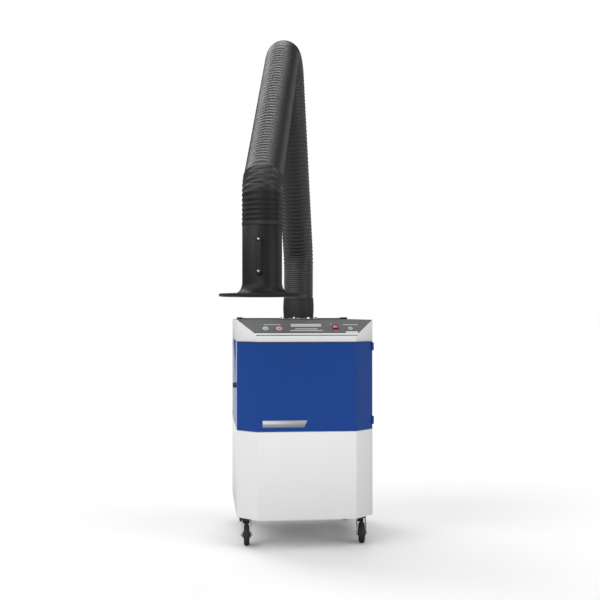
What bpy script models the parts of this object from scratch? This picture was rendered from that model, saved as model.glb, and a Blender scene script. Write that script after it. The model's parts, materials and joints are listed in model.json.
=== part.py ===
"""Mobile fume extractor: a steel filter cabinet on four casters, with a self-supporting suction arm.

Run it with blender --background --python part.py, or from Blender's text editor. Units are metres and
+Z is up. The cabinet is drawn in its own plan (front face at y = 0, centre line at x = 0), and the
root empty then moves the whole machine so that its bounding box stands centred on the origin.
"""

import math

import bmesh
import bpy
from mathutils import Matrix, Vector

# Sheet metal and running gaps
SHEET = 0.0015
BASE_SHEET = 0.0025
GAP = 0.0003
REVEAL = 0.0030

# Sides of round pieces: ducts and rings, wheels, and small pins
ROUND = 32
MIDDLE_ROUND = 24
SMALL_ROUND = 16

# Cabinet
WIDTH = 0.700
DEPTH = 0.815
CHAMFER_X = 0.100
CHAMFER_Y = 0.104
BODY_BOTTOM = 0.158
DOOR_BOTTOM = 0.6015
DOOR_TOP = 1.0505
BODY_TOP = 1.162
SLOPE_FOOT = 1.082
FLANGE = 0.020
DOOR_SIDE_END = 0.280
HALF = WIDTH / 2
WALL_END = DEPTH - SHEET - GAP
LOWER_CASING_TOP = 0.5985
LOWER_SHELF_BOTTOM = LOWER_CASING_TOP + GAP
UPPER_SHELF_BOTTOM = DOOR_TOP + GAP
UPPER_CASING_BOTTOM = UPPER_SHELF_BOTTOM + SHEET + GAP
UNDER_COVER = BODY_TOP - SHEET - GAP

# Control slope: its own frame has X across, Y up the slope and Z out of it
SLOPE_ANGLE = math.atan2(BODY_TOP - SLOPE_FOOT, CHAMFER_Y)
SLOPE_LENGTH = math.hypot(BODY_TOP - SLOPE_FOOT, CHAMFER_Y)
SLOPE = Matrix.Translation((0, 0, SLOPE_FOOT)) @ Matrix.Rotation(SLOPE_ANGLE, 4, "X")
PANEL_SHEET = 0.0012
PANEL_FOOT = 0.020
LAMP_UP = 0.057
LAMPS = (("lamp_running", -0.207, 0.016), ("lamp_fault", -0.138, 0.016), ("lamp_power", 0.226, 0.012))
LAMP_HOLE = 0.0060
SWITCH_X = 0.149
SWITCH_UP = 0.068
SWITCH_HOLE = (0.0122, 0.0168)
SWITCH_FRAME = (0.0150, 0.0190)
ROCKER = (0.0115, 0.0142)

# Flat plates are drawn lying down: these stand them up facing -Y, facing +X, or on the rear wall
UPRIGHT = Matrix.Rotation(math.radians(90), 4, "X")
SIDEWAYS = Matrix.Rotation(math.radians(90), 4, "Z") @ UPRIGHT
REAR = Matrix.Translation((0, DEPTH, 0)) @ UPRIGHT

# Door furniture
HINGE_AXIS = (HALF + 0.0005, CHAMFER_Y - 0.0035)
HINGE_RADIUS = 0.006
HINGE_LENGTH = 0.040
HINGE_BOTTOMS = {"hinge_lower": 0.626, "hinge_upper": 1.005}
HINGE_PIN = 0.003
LATCH_Y = 0.250
LATCH_Z = 0.820
TRIM_BAR = ((-0.225, 0.622), (0.0, 0.657))

# Fan, filters and rear fittings
FILTER_HEIGHT = 0.350
FILTER_WALL = 0.012
PLEATS = 16
PLEAT_SKIN = 0.040
DUCT_Y = 0.458
DUCT_HOLE = 0.0755
FAN_HOLE = 0.100
FAN_BOTTOM = 0.435
FAN_TOP = 0.585
FAN_RADIUS = 0.140
SHAFT_RADIUS = 0.0095
MOTOR_BOTTOM = 0.270
MOTOR_TOP = 0.432
MOTOR_RADIUS = 0.085
BLADES = 10
OUTLET = ((0.068, 0.428), (0.252, 0.592))
LOUVRES = 8
GLAND_PLACE = (0.260, 0.215)
GLAND_RADIUS = 0.010
HANDLE_X = 0.3075
HANDLE_BACK = 0.085
HANDLE_RADIUS = 0.0125
HANDLE_Z = 1.1565

# Casters
CASTER_X = 0.298
CASTER_FRONT_Y = 0.168
CASTER_REAR_Y = 0.765
CASTER_TRAIL = 0.038
WHEEL_RADIUS = 0.054
WHEEL_HALF = 0.014
AXLE_HEIGHT = 0.0625
FLOOR = AXLE_HEIGHT - WHEEL_RADIUS
AXLE_RADIUS = 0.005
CASTERS = {
    "front_left": (-CASTER_X, CASTER_FRONT_Y, math.radians(-1)),
    "front_right": (CASTER_X, CASTER_FRONT_Y, math.radians(-3)),
    "rear_left": (-CASTER_X, CASTER_REAR_Y, 0.0),
    "rear_right": (CASTER_X, CASTER_REAR_Y, math.radians(-6)),
}

# Suction arm: its side view is drawn in (reach, height), reach being measured out of the swivel axis
ARM_TURN = math.radians(11.13)
ARM_OUT = Vector((-math.sin(ARM_TURN), -math.cos(ARM_TURN), 0))
ARM_SIDE = Vector((0, 0, 1)).cross(ARM_OUT)
HOSE_RADIUS = 0.079
HOSE_WALL = 0.002
HOSE_START = 1.2803
FLANGE_NECK = 1.105
BOLTS = 8
BOLT_CIRCLE = 0.100
BASE_BEND_START = 1.442
BASE_BEND = (0.200, math.radians(31.97))
LOWER_STRAIGHT = 0.935
ELBOW_BEND = (0.180, math.radians(101.95))
UPPER_STRAIGHT = 0.902
WRIST_BEND = (0.150, math.radians(46.08))
HOSE_JOIN = 0.120
LINK_OFFSET = 0.050
LINK_TUBE = 0.011
LINK_PIN = 0.006
LINK_EYE = 0.014
TONGUE_HALF = 0.009
LUG_INNER = 0.0095
LUG_OUTER = 0.0135
LINK_BLOCK = (0.034, 0.044)

# Hood
DUCT_RADIUS = 0.0794
DUCT_BORE = 0.0765
HOOD_TOP = 1.548
BRIM_RADIUS = 0.1735
BRIM_TOP = 1.273
BRIM_BOTTOM = 1.260
FLARE_TOP = 1.318
FLARE_RADIUS = 0.1094
FLARE_STEPS = 4
GRIP_SCREWS = (1.358, 1.484)

COLOURS = {
    "white_paint": ((0.80, 0.80, 0.81), 0.45, 0.0),
    "blue_paint": ((0.017, 0.068, 0.290), 0.40, 0.0),
    "panel_grey": ((0.14, 0.14, 0.145), 0.55, 0.0),
    "black_plastic": ((0.028, 0.028, 0.030), 0.45, 0.0),
    "hose": ((0.030, 0.030, 0.032), 0.50, 0.0),
    "rubber": ((0.018, 0.018, 0.018), 0.75, 0.0),
    "zinc": ((0.62, 0.62, 0.63), 0.35, 1.0),
    "brushed": ((0.60, 0.61, 0.63), 0.35, 1.0),
    "galvanised": ((0.45, 0.47, 0.48), 0.50, 1.0),
    "filter_media": ((0.82, 0.80, 0.74), 0.90, 0.0),
    "red_plastic": ((0.62, 0.03, 0.03), 0.35, 0.0),
    "green_lens": ((0.05, 0.45, 0.12), 0.20, 0.0),
    "red_lens": ((0.60, 0.05, 0.05), 0.20, 0.0),
    "dark_paint": ((0.06, 0.06, 0.065), 0.50, 0.0),
}


# ---------------------------------------------------------------- scene and helpers


def start_scene():
    for old in list(bpy.data.objects):
        bpy.data.objects.remove(old, do_unlink=True)
    machine = bpy.data.collections.new("fume_extractor")
    bpy.context.scene.collection.children.link(machine)
    return machine


MACHINE = start_scene()


def make_material(name):
    colour, roughness, metallic = COLOURS[name]
    material = bpy.data.materials.new(name)
    material.use_nodes = True
    shader = material.node_tree.nodes["Principled BSDF"]
    shader.inputs["Base Color"].default_value = (*colour, 1)
    shader.inputs["Roughness"].default_value = roughness
    shader.inputs["Metallic"].default_value = metallic
    return material


MATERIALS = {name: make_material(name) for name in COLOURS}


def link(name, mesh):
    obj = bpy.data.objects.new(name, mesh)
    MACHINE.objects.link(obj)
    return obj


def from_bmesh(name, bm):
    mesh = bpy.data.meshes.new(name)
    bm.to_mesh(mesh)
    bm.free()
    return link(name, mesh)


def bake(obj):
    """Replaces an object's mesh by its evaluated one and drops its modifiers."""
    bpy.context.view_layer.update()
    evaluated = obj.evaluated_get(bpy.context.evaluated_depsgraph_get())
    mesh = bpy.data.meshes.new_from_object(evaluated)
    obj.modifiers.clear()
    obj.data = mesh
    return obj


def boolean(target, operation, tools):
    for tool in tools:
        modifier = target.modifiers.new(operation.lower(), "BOOLEAN")
        modifier.operation = operation
        modifier.object = tool
        bake(target)
        bpy.data.objects.remove(tool, do_unlink=True)
    return target


def unite(target, *tools):
    return boolean(target, "UNION", tools)


def cut(target, *tools):
    return boolean(target, "DIFFERENCE", tools)


def transformed(obj, matrix):
    obj.data.transform(matrix)
    return obj


def cuboid(name, low, high):
    low, high = Vector(low), Vector(high)
    bm = bmesh.new()
    size = Matrix.Diagonal((*(high - low), 1))
    bmesh.ops.create_cube(bm, size=1, matrix=Matrix.Translation((low + high) / 2) @ size)
    return from_bmesh(name, bm)


def rod(name, start, end, radius, sides=SMALL_ROUND):
    """A capped cylinder between two points, with a vertex line on its own X side."""
    start, end = Vector(start), Vector(end)
    along = end - start
    turn = along.to_track_quat("Z", "Y").to_matrix().to_4x4()
    bm = bmesh.new()
    bmesh.ops.create_cone(
        bm, cap_ends=True, segments=sides, radius1=radius, radius2=radius, depth=along.length,
        matrix=Matrix.Translation((start + end) / 2) @ turn,
    )
    return from_bmesh(name, bm)


def turned(name, profile, steps=ROUND):
    """A closed (radius, height) profile, listed down its outer side first, turned about Z."""
    mesh = bpy.data.meshes.new(name)
    edges = [(i, (i + 1) % len(profile)) for i in range(len(profile))]
    mesh.from_pydata([(r, 0, z) for r, z in profile], edges, [])
    obj = link(name, mesh)
    screw = obj.modifiers.new("turn", "SCREW")
    screw.steps = screw.render_steps = steps
    screw.use_merge_vertices = True
    screw.merge_threshold = 0.00001
    return bake(obj)


def turned_solid(name, profile, steps=SMALL_ROUND):
    """As turned, for a profile that begins and ends on the axis: the stretch along the axis is left out."""
    mesh = bpy.data.meshes.new(name)
    edges = [(i, i + 1) for i in range(len(profile) - 1)]
    mesh.from_pydata([(r, 0, z) for r, z in profile], edges, [])
    obj = link(name, mesh)
    screw = obj.modifiers.new("turn", "SCREW")
    screw.steps = screw.render_steps = steps
    screw.use_merge_vertices = True
    screw.merge_threshold = 0.00001
    return welded(bake(obj))


def welded(obj):
    bm = bmesh.new()
    bm.from_mesh(obj.data)
    bmesh.ops.remove_doubles(bm, verts=bm.verts, dist=0.000001)
    bmesh.ops.recalc_face_normals(bm, faces=bm.faces)
    bm.to_mesh(obj.data)
    bm.free()
    return obj


def from_curve(name, curve):
    source = bpy.data.objects.new(name, curve)
    MACHINE.objects.link(source)
    bpy.context.view_layer.update()
    evaluated = source.evaluated_get(bpy.context.evaluated_depsgraph_get())
    mesh = bpy.data.meshes.new_from_object(evaluated)
    bpy.data.objects.remove(source, do_unlink=True)
    return welded(link(name, mesh))


def plate(name, outlines, thickness):
    """A flat plate on z = 0 and upwards. The first outline is its edge and the others are holes."""
    curve = bpy.data.curves.new(name, "CURVE")
    curve.dimensions = "2D"
    curve.fill_mode = "BOTH"
    curve.extrude = thickness / 2
    for outline in outlines:
        spline = curve.splines.new("POLY")
        spline.points.add(len(outline) - 1)
        spline.use_cyclic_u = True
        for point, (x, y) in zip(spline.points, outline):
            point.co = (x, y, 0, 1)
    return transformed(from_curve(name, curve), Matrix.Translation((0, 0, thickness / 2)))


def circle(x, y, radius, sides=SMALL_ROUND):
    turns = [2 * math.pi * i / sides for i in range(sides)]
    return [(x + radius * math.cos(a), y + radius * math.sin(a)) for a in turns]


def rectangle(x, y, half_x, half_y):
    low_x, high_x, low_y, high_y = x - half_x, x + half_x, y - half_y, y + half_y
    return [(low_x, low_y), (high_x, low_y), (high_x, high_y), (low_x, high_y)]


def inset(path, distance, closed=False):
    """Moves a plan polyline to its left by a distance, with mitred corners."""
    moved = []
    count = len(path)
    for i, point in enumerate(path):
        here = Vector(point)
        before = Vector(path[i - 1]) if i > 0 or closed else None
        after = Vector(path[(i + 1) % count]) if i < count - 1 or closed else None
        ways = [(here - before).normalized()] if before is not None else []
        ways += [(after - here).normalized()] if after is not None else []
        lefts = [Vector((-w.y, w.x)) for w in ways]
        middle = sum(lefts, Vector((0, 0))).normalized()
        moved.append(tuple(here + middle * distance / middle.dot(lefts[0])))
    return moved


def folded_wrap(name, path, low, high, flange=FLANGE, plain=0):
    """A sheet wall round a plan path, with flanges folded to the inside at its foot and head.

    The last few stretches of the path, as many as plain says, have no flanges.
    """
    bm = bmesh.new()
    inner = inset(path, flange)
    outer_low = [bm.verts.new((x, y, low)) for x, y in path]
    outer_high = [bm.verts.new((x, y, high)) for x, y in path]
    folded = len(path) - plain
    inner_low = [bm.verts.new((x, y, low)) for x, y in inner[:folded]]
    inner_high = [bm.verts.new((x, y, high)) for x, y in inner[:folded]]
    for i in range(len(path) - 1):
        bm.faces.new((outer_low[i], outer_low[i + 1], outer_high[i + 1], outer_high[i]))
    for i in range(folded - 1):
        bm.faces.new((inner_low[i], inner_low[i + 1], outer_low[i + 1], outer_low[i]))
        bm.faces.new((outer_high[i], outer_high[i + 1], inner_high[i + 1], inner_high[i]))
    obj = from_bmesh(name, bm)
    return thickened(obj, SHEET)


def thickened(obj, thickness):
    """Gives an open surface its thickness, on the side away from its normals."""
    solidify = obj.modifiers.new("sheet", "SOLIDIFY")
    solidify.thickness = thickness
    solidify.offset = -1
    solidify.use_even_offset = True
    return bake(obj)


def finish(obj, material, origin=(0, 0, 0), smooth=None):
    """Gives a piece its material and its origin, and hangs it on the root empty."""
    obj.data.materials.clear()
    obj.data.materials.append(MATERIALS[material])
    obj.data.transform(Matrix.Translation(-Vector(origin)))
    obj.location = origin
    obj.parent = ROOT
    if smooth is not None:
        obj.data.shade_smooth()
        obj.data.set_sharp_from_angle(angle=math.radians(smooth))
    return obj


def make_root():
    """The empty that centres the machine's box over the origin: hood brim to hinge, brim to push handle."""
    hood = arm_point(hood_reach(), 0)
    lowest = (hood.x - BRIM_RADIUS, hood.y - BRIM_RADIUS)
    highest = (HINGE_AXIS[0] + HINGE_RADIUS, DEPTH + HANDLE_BACK + HANDLE_RADIUS)
    root = bpy.data.objects.new("machine_origin", None)
    root.location = (-(lowest[0] + highest[0]) / 2, -(lowest[1] + highest[1]) / 2, -FLOOR)
    MACHINE.objects.link(root)
    return root


# ---------------------------------------------------------------- the arm's side view


def arm_point(reach, height, side=0.0):
    return Vector((0, DUCT_Y, height)) + ARM_OUT * reach + ARM_SIDE * side


def advance(point, angle, length):
    """One straight stretch, its angle measured from straight up towards the hood."""
    return (point[0] + length * math.sin(angle), point[1] + length * math.cos(angle))


def bend_centre(point, angle, radius):
    return (point[0] + radius * math.cos(angle), point[1] - radius * math.sin(angle))


def on_bend(centre, angle, radius):
    return (centre[0] - radius * math.cos(angle), centre[1] + radius * math.sin(angle))


def arm_bends():
    """Each bend as (start point, start angle, turn, radius), from the cabinet to the hood."""
    bends = []
    point, angle = (0.0, BASE_BEND_START), 0.0
    after_bends = (LOWER_STRAIGHT, UPPER_STRAIGHT, 0)
    for (radius, turn), straight in zip((BASE_BEND, ELBOW_BEND, WRIST_BEND), after_bends):
        bends.append((point, angle, turn, radius))
        point = on_bend(bend_centre(point, angle, radius), angle + turn, radius)
        angle += turn
        point = advance(point, angle, straight)
    return bends


def bend_end(bend):
    point, angle, turn, radius = bend
    return on_bend(bend_centre(point, angle, radius), angle + turn, radius)


def hood_reach():
    return bend_end(arm_bends()[2])[0]


def bend_points(bend, step=math.radians(10)):
    point, angle, turn, radius = bend
    centre = bend_centre(point, angle, radius)
    count = max(2, round(turn / step))
    return [on_bend(centre, angle + turn * i / count, radius) for i in range(count + 1)]


def link_pivot(bend):
    """Where the links on both sides of a bend cross: each runs LINK_OFFSET inside the hose's middle line."""
    point, angle, turn, radius = bend
    corner = advance(point, angle, radius * math.tan(turn / 2))
    centre = bend_centre(point, angle, radius)
    inwards = (Vector(centre) - Vector(corner)).normalized()
    return tuple(Vector(corner) + inwards * LINK_OFFSET / math.cos(turn / 2))


ROOT = make_root()
BENDS = arm_bends()
BASE_PIVOT, ELBOW_PIVOT, WRIST_PIVOT = (link_pivot(bend) for bend in BENDS)
HOOD_REACH = hood_reach()
LOWER_ANGLE = BASE_BEND[1]
UPPER_ANGLE = BASE_BEND[1] + ELBOW_BEND[1]


# ---------------------------------------------------------------- cabinet


def plan_path(inwards=0.0, rear=WALL_END):
    """The cabinet wall in plan, from the rear left round the front to the rear right."""
    path = [
        (-HALF, rear),
        (-HALF, CHAMFER_Y),
        (-HALF + CHAMFER_X, 0),
        (HALF - CHAMFER_X, 0),
        (HALF, CHAMFER_Y),
        (HALF, rear),
    ]
    return inset(path, inwards) if inwards else path


def make_base_pan():
    pan = plate("base_pan", [plan_path(SHEET + GAP)], BASE_SHEET)
    finish(transformed(pan, Matrix.Translation((0, 0, BODY_BOTTOM))), "white_paint")


def make_casings():
    low = BODY_BOTTOM + BASE_SHEET + GAP
    finish(folded_wrap("lower_casing", plan_path(), low, LOWER_CASING_TOP), "white_paint")
    upper = folded_wrap("upper_casing", plan_path(), UPPER_CASING_BOTTOM, UNDER_COVER)
    above_slope = cuboid("above_slope", (-WIDTH, -0.3, -SHEET - GAP), (WIDTH, SLOPE_LENGTH + 0.02, 0.3))
    finish(cut(upper, transformed(above_slope, SLOPE)), "white_paint")


def make_side_covers():
    left = [(-HALF, WALL_END), (-HALF, DOOR_SIDE_END + SHEET)]
    finish(folded_wrap("side_cover_left", left, DOOR_BOTTOM, DOOR_TOP), "blue_paint")
    right = [(HALF, CHAMFER_Y + 0.004), (HALF, WALL_END)]
    finish(folded_wrap("side_cover_right", right, DOOR_BOTTOM, DOOR_TOP), "blue_paint")


def make_rear_panel():
    (x0, z0), (x1, z1) = OUTLET
    middle = ((x0 + x1) / 2, (z0 + z1) / 2)
    outlet = rectangle(*middle, (x1 - x0) / 2, (z1 - z0) / 2)
    gland = circle(*GLAND_PLACE, GLAND_RADIUS + GAP)
    outline = [(-HALF, BODY_BOTTOM), (HALF, BODY_BOTTOM), (HALF, UNDER_COVER), (-HALF, UNDER_COVER)]
    panel = plate("rear_panel", [outline, outlet, gland], SHEET)
    finish(transformed(panel, REAR), "white_paint")

    frame = rectangle(*middle, (x1 - x0) / 2 + 0.020, (z1 - z0) / 2 + 0.020)
    pitch = (z1 - z0) / LOUVRES
    half_slot = ((x1 - x0) / 2 - 0.010, pitch * 0.28)
    slots = [rectangle(middle[0], z0 + pitch * (i + 0.5), *half_slot) for i in range(LOUVRES)]
    grille = plate("outlet_grille", [frame, *slots], 0.003)
    finish(transformed(grille, REAR @ Matrix.Translation((0, 0, -GAP - 0.003))), "dark_paint")


def make_top_cover():
    bm = bmesh.new()
    foot = [bm.verts.new((side * (HALF - CHAMFER_X), 0, SLOPE_FOOT)) for side in (-1, 1)]
    fold = [bm.verts.new((side * HALF, CHAMFER_Y, BODY_TOP)) for side in (-1, 1)]
    rear = [bm.verts.new((side * HALF, DEPTH, BODY_TOP)) for side in (-1, 1)]
    bm.faces.new((foot[0], foot[1], fold[1], fold[0]))
    bm.faces.new((fold[0], fold[1], rear[1], rear[0]))
    cover = thickened(from_bmesh("top_cover", bm), SHEET)
    holes = [rod("duct_hole", (0, DUCT_Y, 1.1), (0, DUCT_Y, 1.2), DUCT_HOLE, ROUND)]
    for name, x, _ in LAMPS:
        hole = rod(name + "_hole", (x, LAMP_UP, -0.02), (x, LAMP_UP, 0.02), LAMP_HOLE)
        holes.append(transformed(hole, SLOPE))
    half_x, half_y = SWITCH_HOLE
    low, high = (SWITCH_X - half_x, SWITCH_UP - half_y, -0.02), (SWITCH_X + half_x, SWITCH_UP + half_y, 0.02)
    holes.append(transformed(cuboid("switch_hole", low, high), SLOPE))
    finish(cut(cover, *holes), "white_paint")


def make_control_panel():
    def half_width(up):
        return HALF - CHAMFER_X * (1 - up / SLOPE_LENGTH) - 0.0015

    low, high = PANEL_FOOT, SLOPE_LENGTH - 0.001
    outline = [
        (-half_width(low), low),
        (half_width(low), low),
        (half_width(high), high),
        (-half_width(high), high),
    ]
    holes = [circle(x, LAMP_UP, LAMP_HOLE) for _, x, _ in LAMPS]
    holes.append(rectangle(SWITCH_X, SWITCH_UP, *SWITCH_HOLE))
    panel = plate("control_panel", [outline, *holes], PANEL_SHEET)
    finish(transformed(panel, SLOPE @ Matrix.Translation((0, 0, GAP))), "panel_grey")


def make_lamps():
    face = GAP + PANEL_SHEET + GAP
    for name, x, bezel in LAMPS:
        stem = LAMP_HOLE - GAP
        lens = bezel * 0.55
        profile = [(0, face + 0.0075)]
        profile += [(lens * math.sin(a), face + 0.003 + 0.0045 * math.cos(a)) for a in (0.5, 1.0, 1.45)]
        profile += [(bezel - 0.002, face + 0.003), (bezel, face + 0.001), (bezel, face)]
        profile += [(stem, face), (stem, -0.012), (0, -0.012)]
        lamp = turned_solid(name, profile)
        colour = "red_lens" if name == "lamp_fault" else "green_lens"
        finish(transformed(lamp, SLOPE @ Matrix.Translation((x, LAMP_UP, 0))), colour, smooth=35)


def make_switch():
    face = GAP + PANEL_SHEET + GAP
    edge, hole = rectangle(0, 0, *SWITCH_FRAME), rectangle(0, 0, *SWITCH_HOLE)
    frame = plate("switch_frame", [edge, hole], 0.0018)
    finish(transformed(frame, SLOPE @ Matrix.Translation((SWITCH_X, SWITCH_UP, face))), "black_plastic")

    half_x, half_y = ROCKER
    side = [(-half_y, -0.006), (half_y, -0.006), (half_y, 0.0045), (0, 0.0075), (-half_y, 0.0125)]
    rocker = plate("switch_rocker", [side], 2 * half_x)
    transformed(rocker, SIDEWAYS @ Matrix.Translation((0, 0, -half_x)))
    place = SLOPE @ Matrix.Translation((SWITCH_X, SWITCH_UP, 0))
    finish(transformed(rocker, place), "red_plastic", origin=place.translation)


# ---------------------------------------------------------------- filters, fan and rear fittings


def make_shelves():
    outline = plan_path(0.003)
    hole = circle(0, DUCT_Y, FAN_HOLE, ROUND)
    lower = plate("lower_shelf", [outline, hole], 0.002)
    finish(transformed(lower, Matrix.Translation((0, 0, LOWER_SHELF_BOTTOM))), "galvanised")

    upper = plate("upper_shelf", [outline], SHEET)
    transformed(upper, Matrix.Translation((0, 0, UPPER_SHELF_BOTTOM)))
    inner, outer, head = 0.0733, 0.0748, FLANGE_NECK - 0.003
    collar = turned("collar", [(outer, head), (outer, 1.040), (inner, 1.040), (inner, head)])
    transformed(collar, Matrix.Translation((0, DUCT_Y, 0)))
    bore = rod("bore", (0, DUCT_Y, 1.0), (0, DUCT_Y, 1.1), (inner + outer) / 2, ROUND)
    finish(unite(cut(upper, bore), collar), "galvanised", smooth=35)


def make_filters():
    x, y0, y1 = 0.285, 0.150, 0.710
    middle = (0, (y0 + y1) / 2)
    half_y = (y1 - y0) / 2
    outline = rectangle(*middle, x, half_y)
    inside = rectangle(*middle, x - FILTER_WALL, half_y - FILTER_WALL)
    frame = plate("main_filter", [outline, inside], FILTER_HEIGHT)

    span = x - FILTER_WALL * 0.5
    pitch = span / PLEATS
    ridge, valley = FILTER_HEIGHT - 0.010, 0.010 + PLEAT_SKIN
    folds = [(span - pitch * i, ridge if i % 2 else valley) for i in range(2 * PLEATS + 1)]
    under = [(across, up - PLEAT_SKIN) for across, up in reversed(folds)]
    media = plate("media", [folds + under], y1 - y0 - FILTER_WALL)
    transformed(media, Matrix.Translation((0, y1 - FILTER_WALL / 2, 0)) @ UPRIGHT)
    unite(frame, media)
    finish(transformed(frame, Matrix.Translation((0, 0, LOWER_SHELF_BOTTOM + 0.013))), "filter_media")

    seal = plate("filter_seal", [outline, rectangle(*middle, x - 0.03, half_y - 0.03)], 0.010)
    finish(transformed(seal, Matrix.Translation((0, 0, LOWER_SHELF_BOTTOM + 0.0025))), "rubber")

    cell = 2 * (half_y - 0.020) / 4
    steps = [(i - 1.5) * cell for i in range(4)]
    cells = [rectangle(across, middle[1] + back, 0.055, 0.055) for across in steps for back in steps]
    grid = plate("pre_filter", [outline, *cells], 0.030)
    finish(transformed(grid, Matrix.Translation((0, 0, 0.975))), "galvanised")


def scroll_outline(shrink=0.0, mouth=0.3545):
    """The fan housing in plan: a spiral that opens into a straight outlet towards the rear."""
    steps = 24
    start, end = math.radians(62), math.radians(360)
    points = []
    for i in range(steps + 1):
        a = start + (end - start) * i / steps
        r = 0.160 + 0.085 * (a - start) / (end - start) - shrink
        points.append((r * math.cos(a), r * math.sin(a)))
    right, left = 0.245 - shrink, points[0][0]
    return [*points, (right, mouth), (left, mouth)]


def make_fan():
    housing = plate("fan_housing", [scroll_outline()], FAN_TOP - FAN_BOTTOM)
    hollow = plate("hollow", [scroll_outline(0.002, 0.40)], FAN_TOP - FAN_BOTTOM - 0.004)
    transformed(hollow, Matrix.Translation((0, 0, 0.002)))
    inlet = rod("inlet", (0, 0, 0.10), (0, 0, 0.20), FAN_HOLE, ROUND)
    shaft_way = rod("shaft_way", (0, 0, -0.02), (0, 0, 0.02), 0.030)
    cut(housing, hollow, inlet, shaft_way)
    finish(transformed(housing, Matrix.Translation((0, DUCT_Y, FAN_BOTTOM))), "galvanised")

    low, high = FAN_BOTTOM + 0.020, FAN_TOP - 0.020
    wheel = rod("fan_impeller", (0, DUCT_Y, low), (0, DUCT_Y, low + 0.003), FAN_RADIUS, ROUND)
    hub = rod("hub", (0, DUCT_Y, MOTOR_TOP - 0.030), (0, DUCT_Y, low + 0.035), SHAFT_RADIUS)
    boss = rod("boss", (0, DUCT_Y, low + 0.001), (0, DUCT_Y, low + 0.030), 0.025)
    blades = []
    for i in range(BLADES):
        blade = cuboid("blade", (0.060, -0.0012, low + 0.001), (FAN_RADIUS - 0.002, 0.0012, high))
        swept = Matrix.Translation((0, DUCT_Y, 0)) @ Matrix.Rotation(2 * math.pi * i / BLADES, 4, "Z")
        blades.append(transformed(blade, swept))
    finish(unite(wheel, boss, hub, *blades), "dark_paint", origin=(0, DUCT_Y, low))

    motor = rod("motor", (0, DUCT_Y, MOTOR_BOTTOM), (0, DUCT_Y, MOTOR_TOP), MOTOR_RADIUS, MIDDLE_ROUND)
    bore = rod("bore", (0, DUCT_Y, MOTOR_TOP - 0.032), (0, DUCT_Y, MOTOR_TOP + 0.01), SHAFT_RADIUS + GAP)
    finish(cut(motor, bore), "dark_paint", smooth=35)

    floor = BODY_BOTTOM + BASE_SHEET + GAP
    stand = cuboid("motor_stand", (-0.12, DUCT_Y - 0.09, floor), (0.12, DUCT_Y + 0.09, MOTOR_BOTTOM - GAP))
    tunnel_top = MOTOR_BOTTOM - GAP - 0.004
    tunnel = cuboid("tunnel", (-0.116, DUCT_Y - 0.2, floor - 0.1), (0.116, DUCT_Y + 0.2, tunnel_top))
    finish(cut(stand, tunnel), "galvanised")


def make_control_box():
    low = UPPER_CASING_BOTTOM + SHEET + GAP
    front, back, head = (0.080, 0.150), (0.300, 0.350), low + 0.070
    box = cuboid("control_box", (*front, low), (*back, head))
    inside_low = (front[0] + SHEET, front[1] + SHEET, low - 0.01)
    inside_high = (back[0] - SHEET, back[1] - SHEET, head - SHEET)
    finish(cut(box, cuboid("inside", inside_low, inside_high)), "panel_grey")


def make_handle():
    z, y = HANDLE_Z, DEPTH + HANDLE_BACK
    bar = rod("handle_bar", (-HANDLE_X, y, z), (HANDLE_X, y, z), HANDLE_RADIUS)
    finish(bar, "black_plastic", smooth=35)
    for side, name in ((-1, "handle_bracket_left"), (1, "handle_bracket_right")):
        outer = side * (HANDLE_X + 0.015)
        low_x, high_x = sorted((outer, side * (HANDLE_X - 0.015)))
        rear = DEPTH + HANDLE_BACK + HANDLE_RADIUS
        arm = cuboid(name, (low_x, DEPTH + GAP, z - 0.050), (high_x, rear, z + 0.0165))
        under = ((low_x - 0.01, DEPTH + 0.035, z - 0.1), (high_x + 0.01, rear + 0.1, z - 0.0175))
        socket_end = side * (HANDLE_X + GAP)
        socket = rod("socket", (0, y, z), (socket_end, y, z), HANDLE_RADIUS + GAP)
        finish(cut(arm, cuboid("under", *under), socket), "black_plastic")


def make_gland():
    x, z = GLAND_PLACE
    r = GLAND_RADIUS
    profile = [(0, 0.026), (0.007, 0.026), (0.011, 0.020), (0.014, 0.012), (0.0165, 0.012), (0.0165, 0.0003)]
    profile += [(r, 0.0003), (r, -0.012), (0, -0.012)]
    gland = turned_solid("cable_gland", profile)
    outwards = Matrix.Translation((x, DEPTH, z)) @ Matrix.Rotation(math.radians(-90), 4, "X")
    finish(transformed(gland, outwards), "black_plastic")


# ---------------------------------------------------------------- door


def make_door():
    end = Vector((HALF, CHAMFER_Y)) - Vector((CHAMFER_X, CHAMFER_Y)).normalized() * 0.0015
    plain_from = end - Vector((CHAMFER_X, CHAMFER_Y)).normalized() * 0.040
    path = [(-HALF, DOOR_SIDE_END), *plan_path()[1:4], tuple(plain_from), tuple(end)]
    door = folded_wrap("filter_door", path, DOOR_BOTTOM, DOOR_TOP, plain=1)
    x, y = HINGE_AXIS
    half = HINGE_LENGTH / 2
    for name, low in HINGE_BOTTOMS.items():
        middle, high = low + half, low + HINGE_LENGTH
        room = rod("room", (x, y, low - REVEAL / 2), (x, y, middle + GAP), HINGE_RADIUS + 0.0008)
        knuckle = rod("knuckle", (x, y, middle + GAP / 2), (x, y, high), HINGE_RADIUS)
        pin_way = rod("pin_way", (x, y, low - 0.01), (x, y, high - 0.003), HINGE_PIN + GAP)
        cut(unite(cut(door, room), knuckle), pin_way)

        fixed = rod(name, (x, y, low), (x, y, middle - GAP / 2), HINGE_RADIUS)
        pin = rod("pin", (x, y, low + 0.002), (x, y, high - 0.005), HINGE_PIN)
        leaf = cuboid("leaf", (HALF - 0.0040, y, low), (HALF - SHEET - GAP, y + 0.045, middle - GAP / 2))
        finish(unite(fixed, pin, leaf), "blue_paint")
    latch_way = rod("latch_way", (-HALF - 0.01, LATCH_Y, LATCH_Z), (-HALF + 0.01, LATCH_Y, LATCH_Z), 0.0065)
    finish(cut(door, latch_way), "blue_paint", origin=(x, y, 0))


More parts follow.
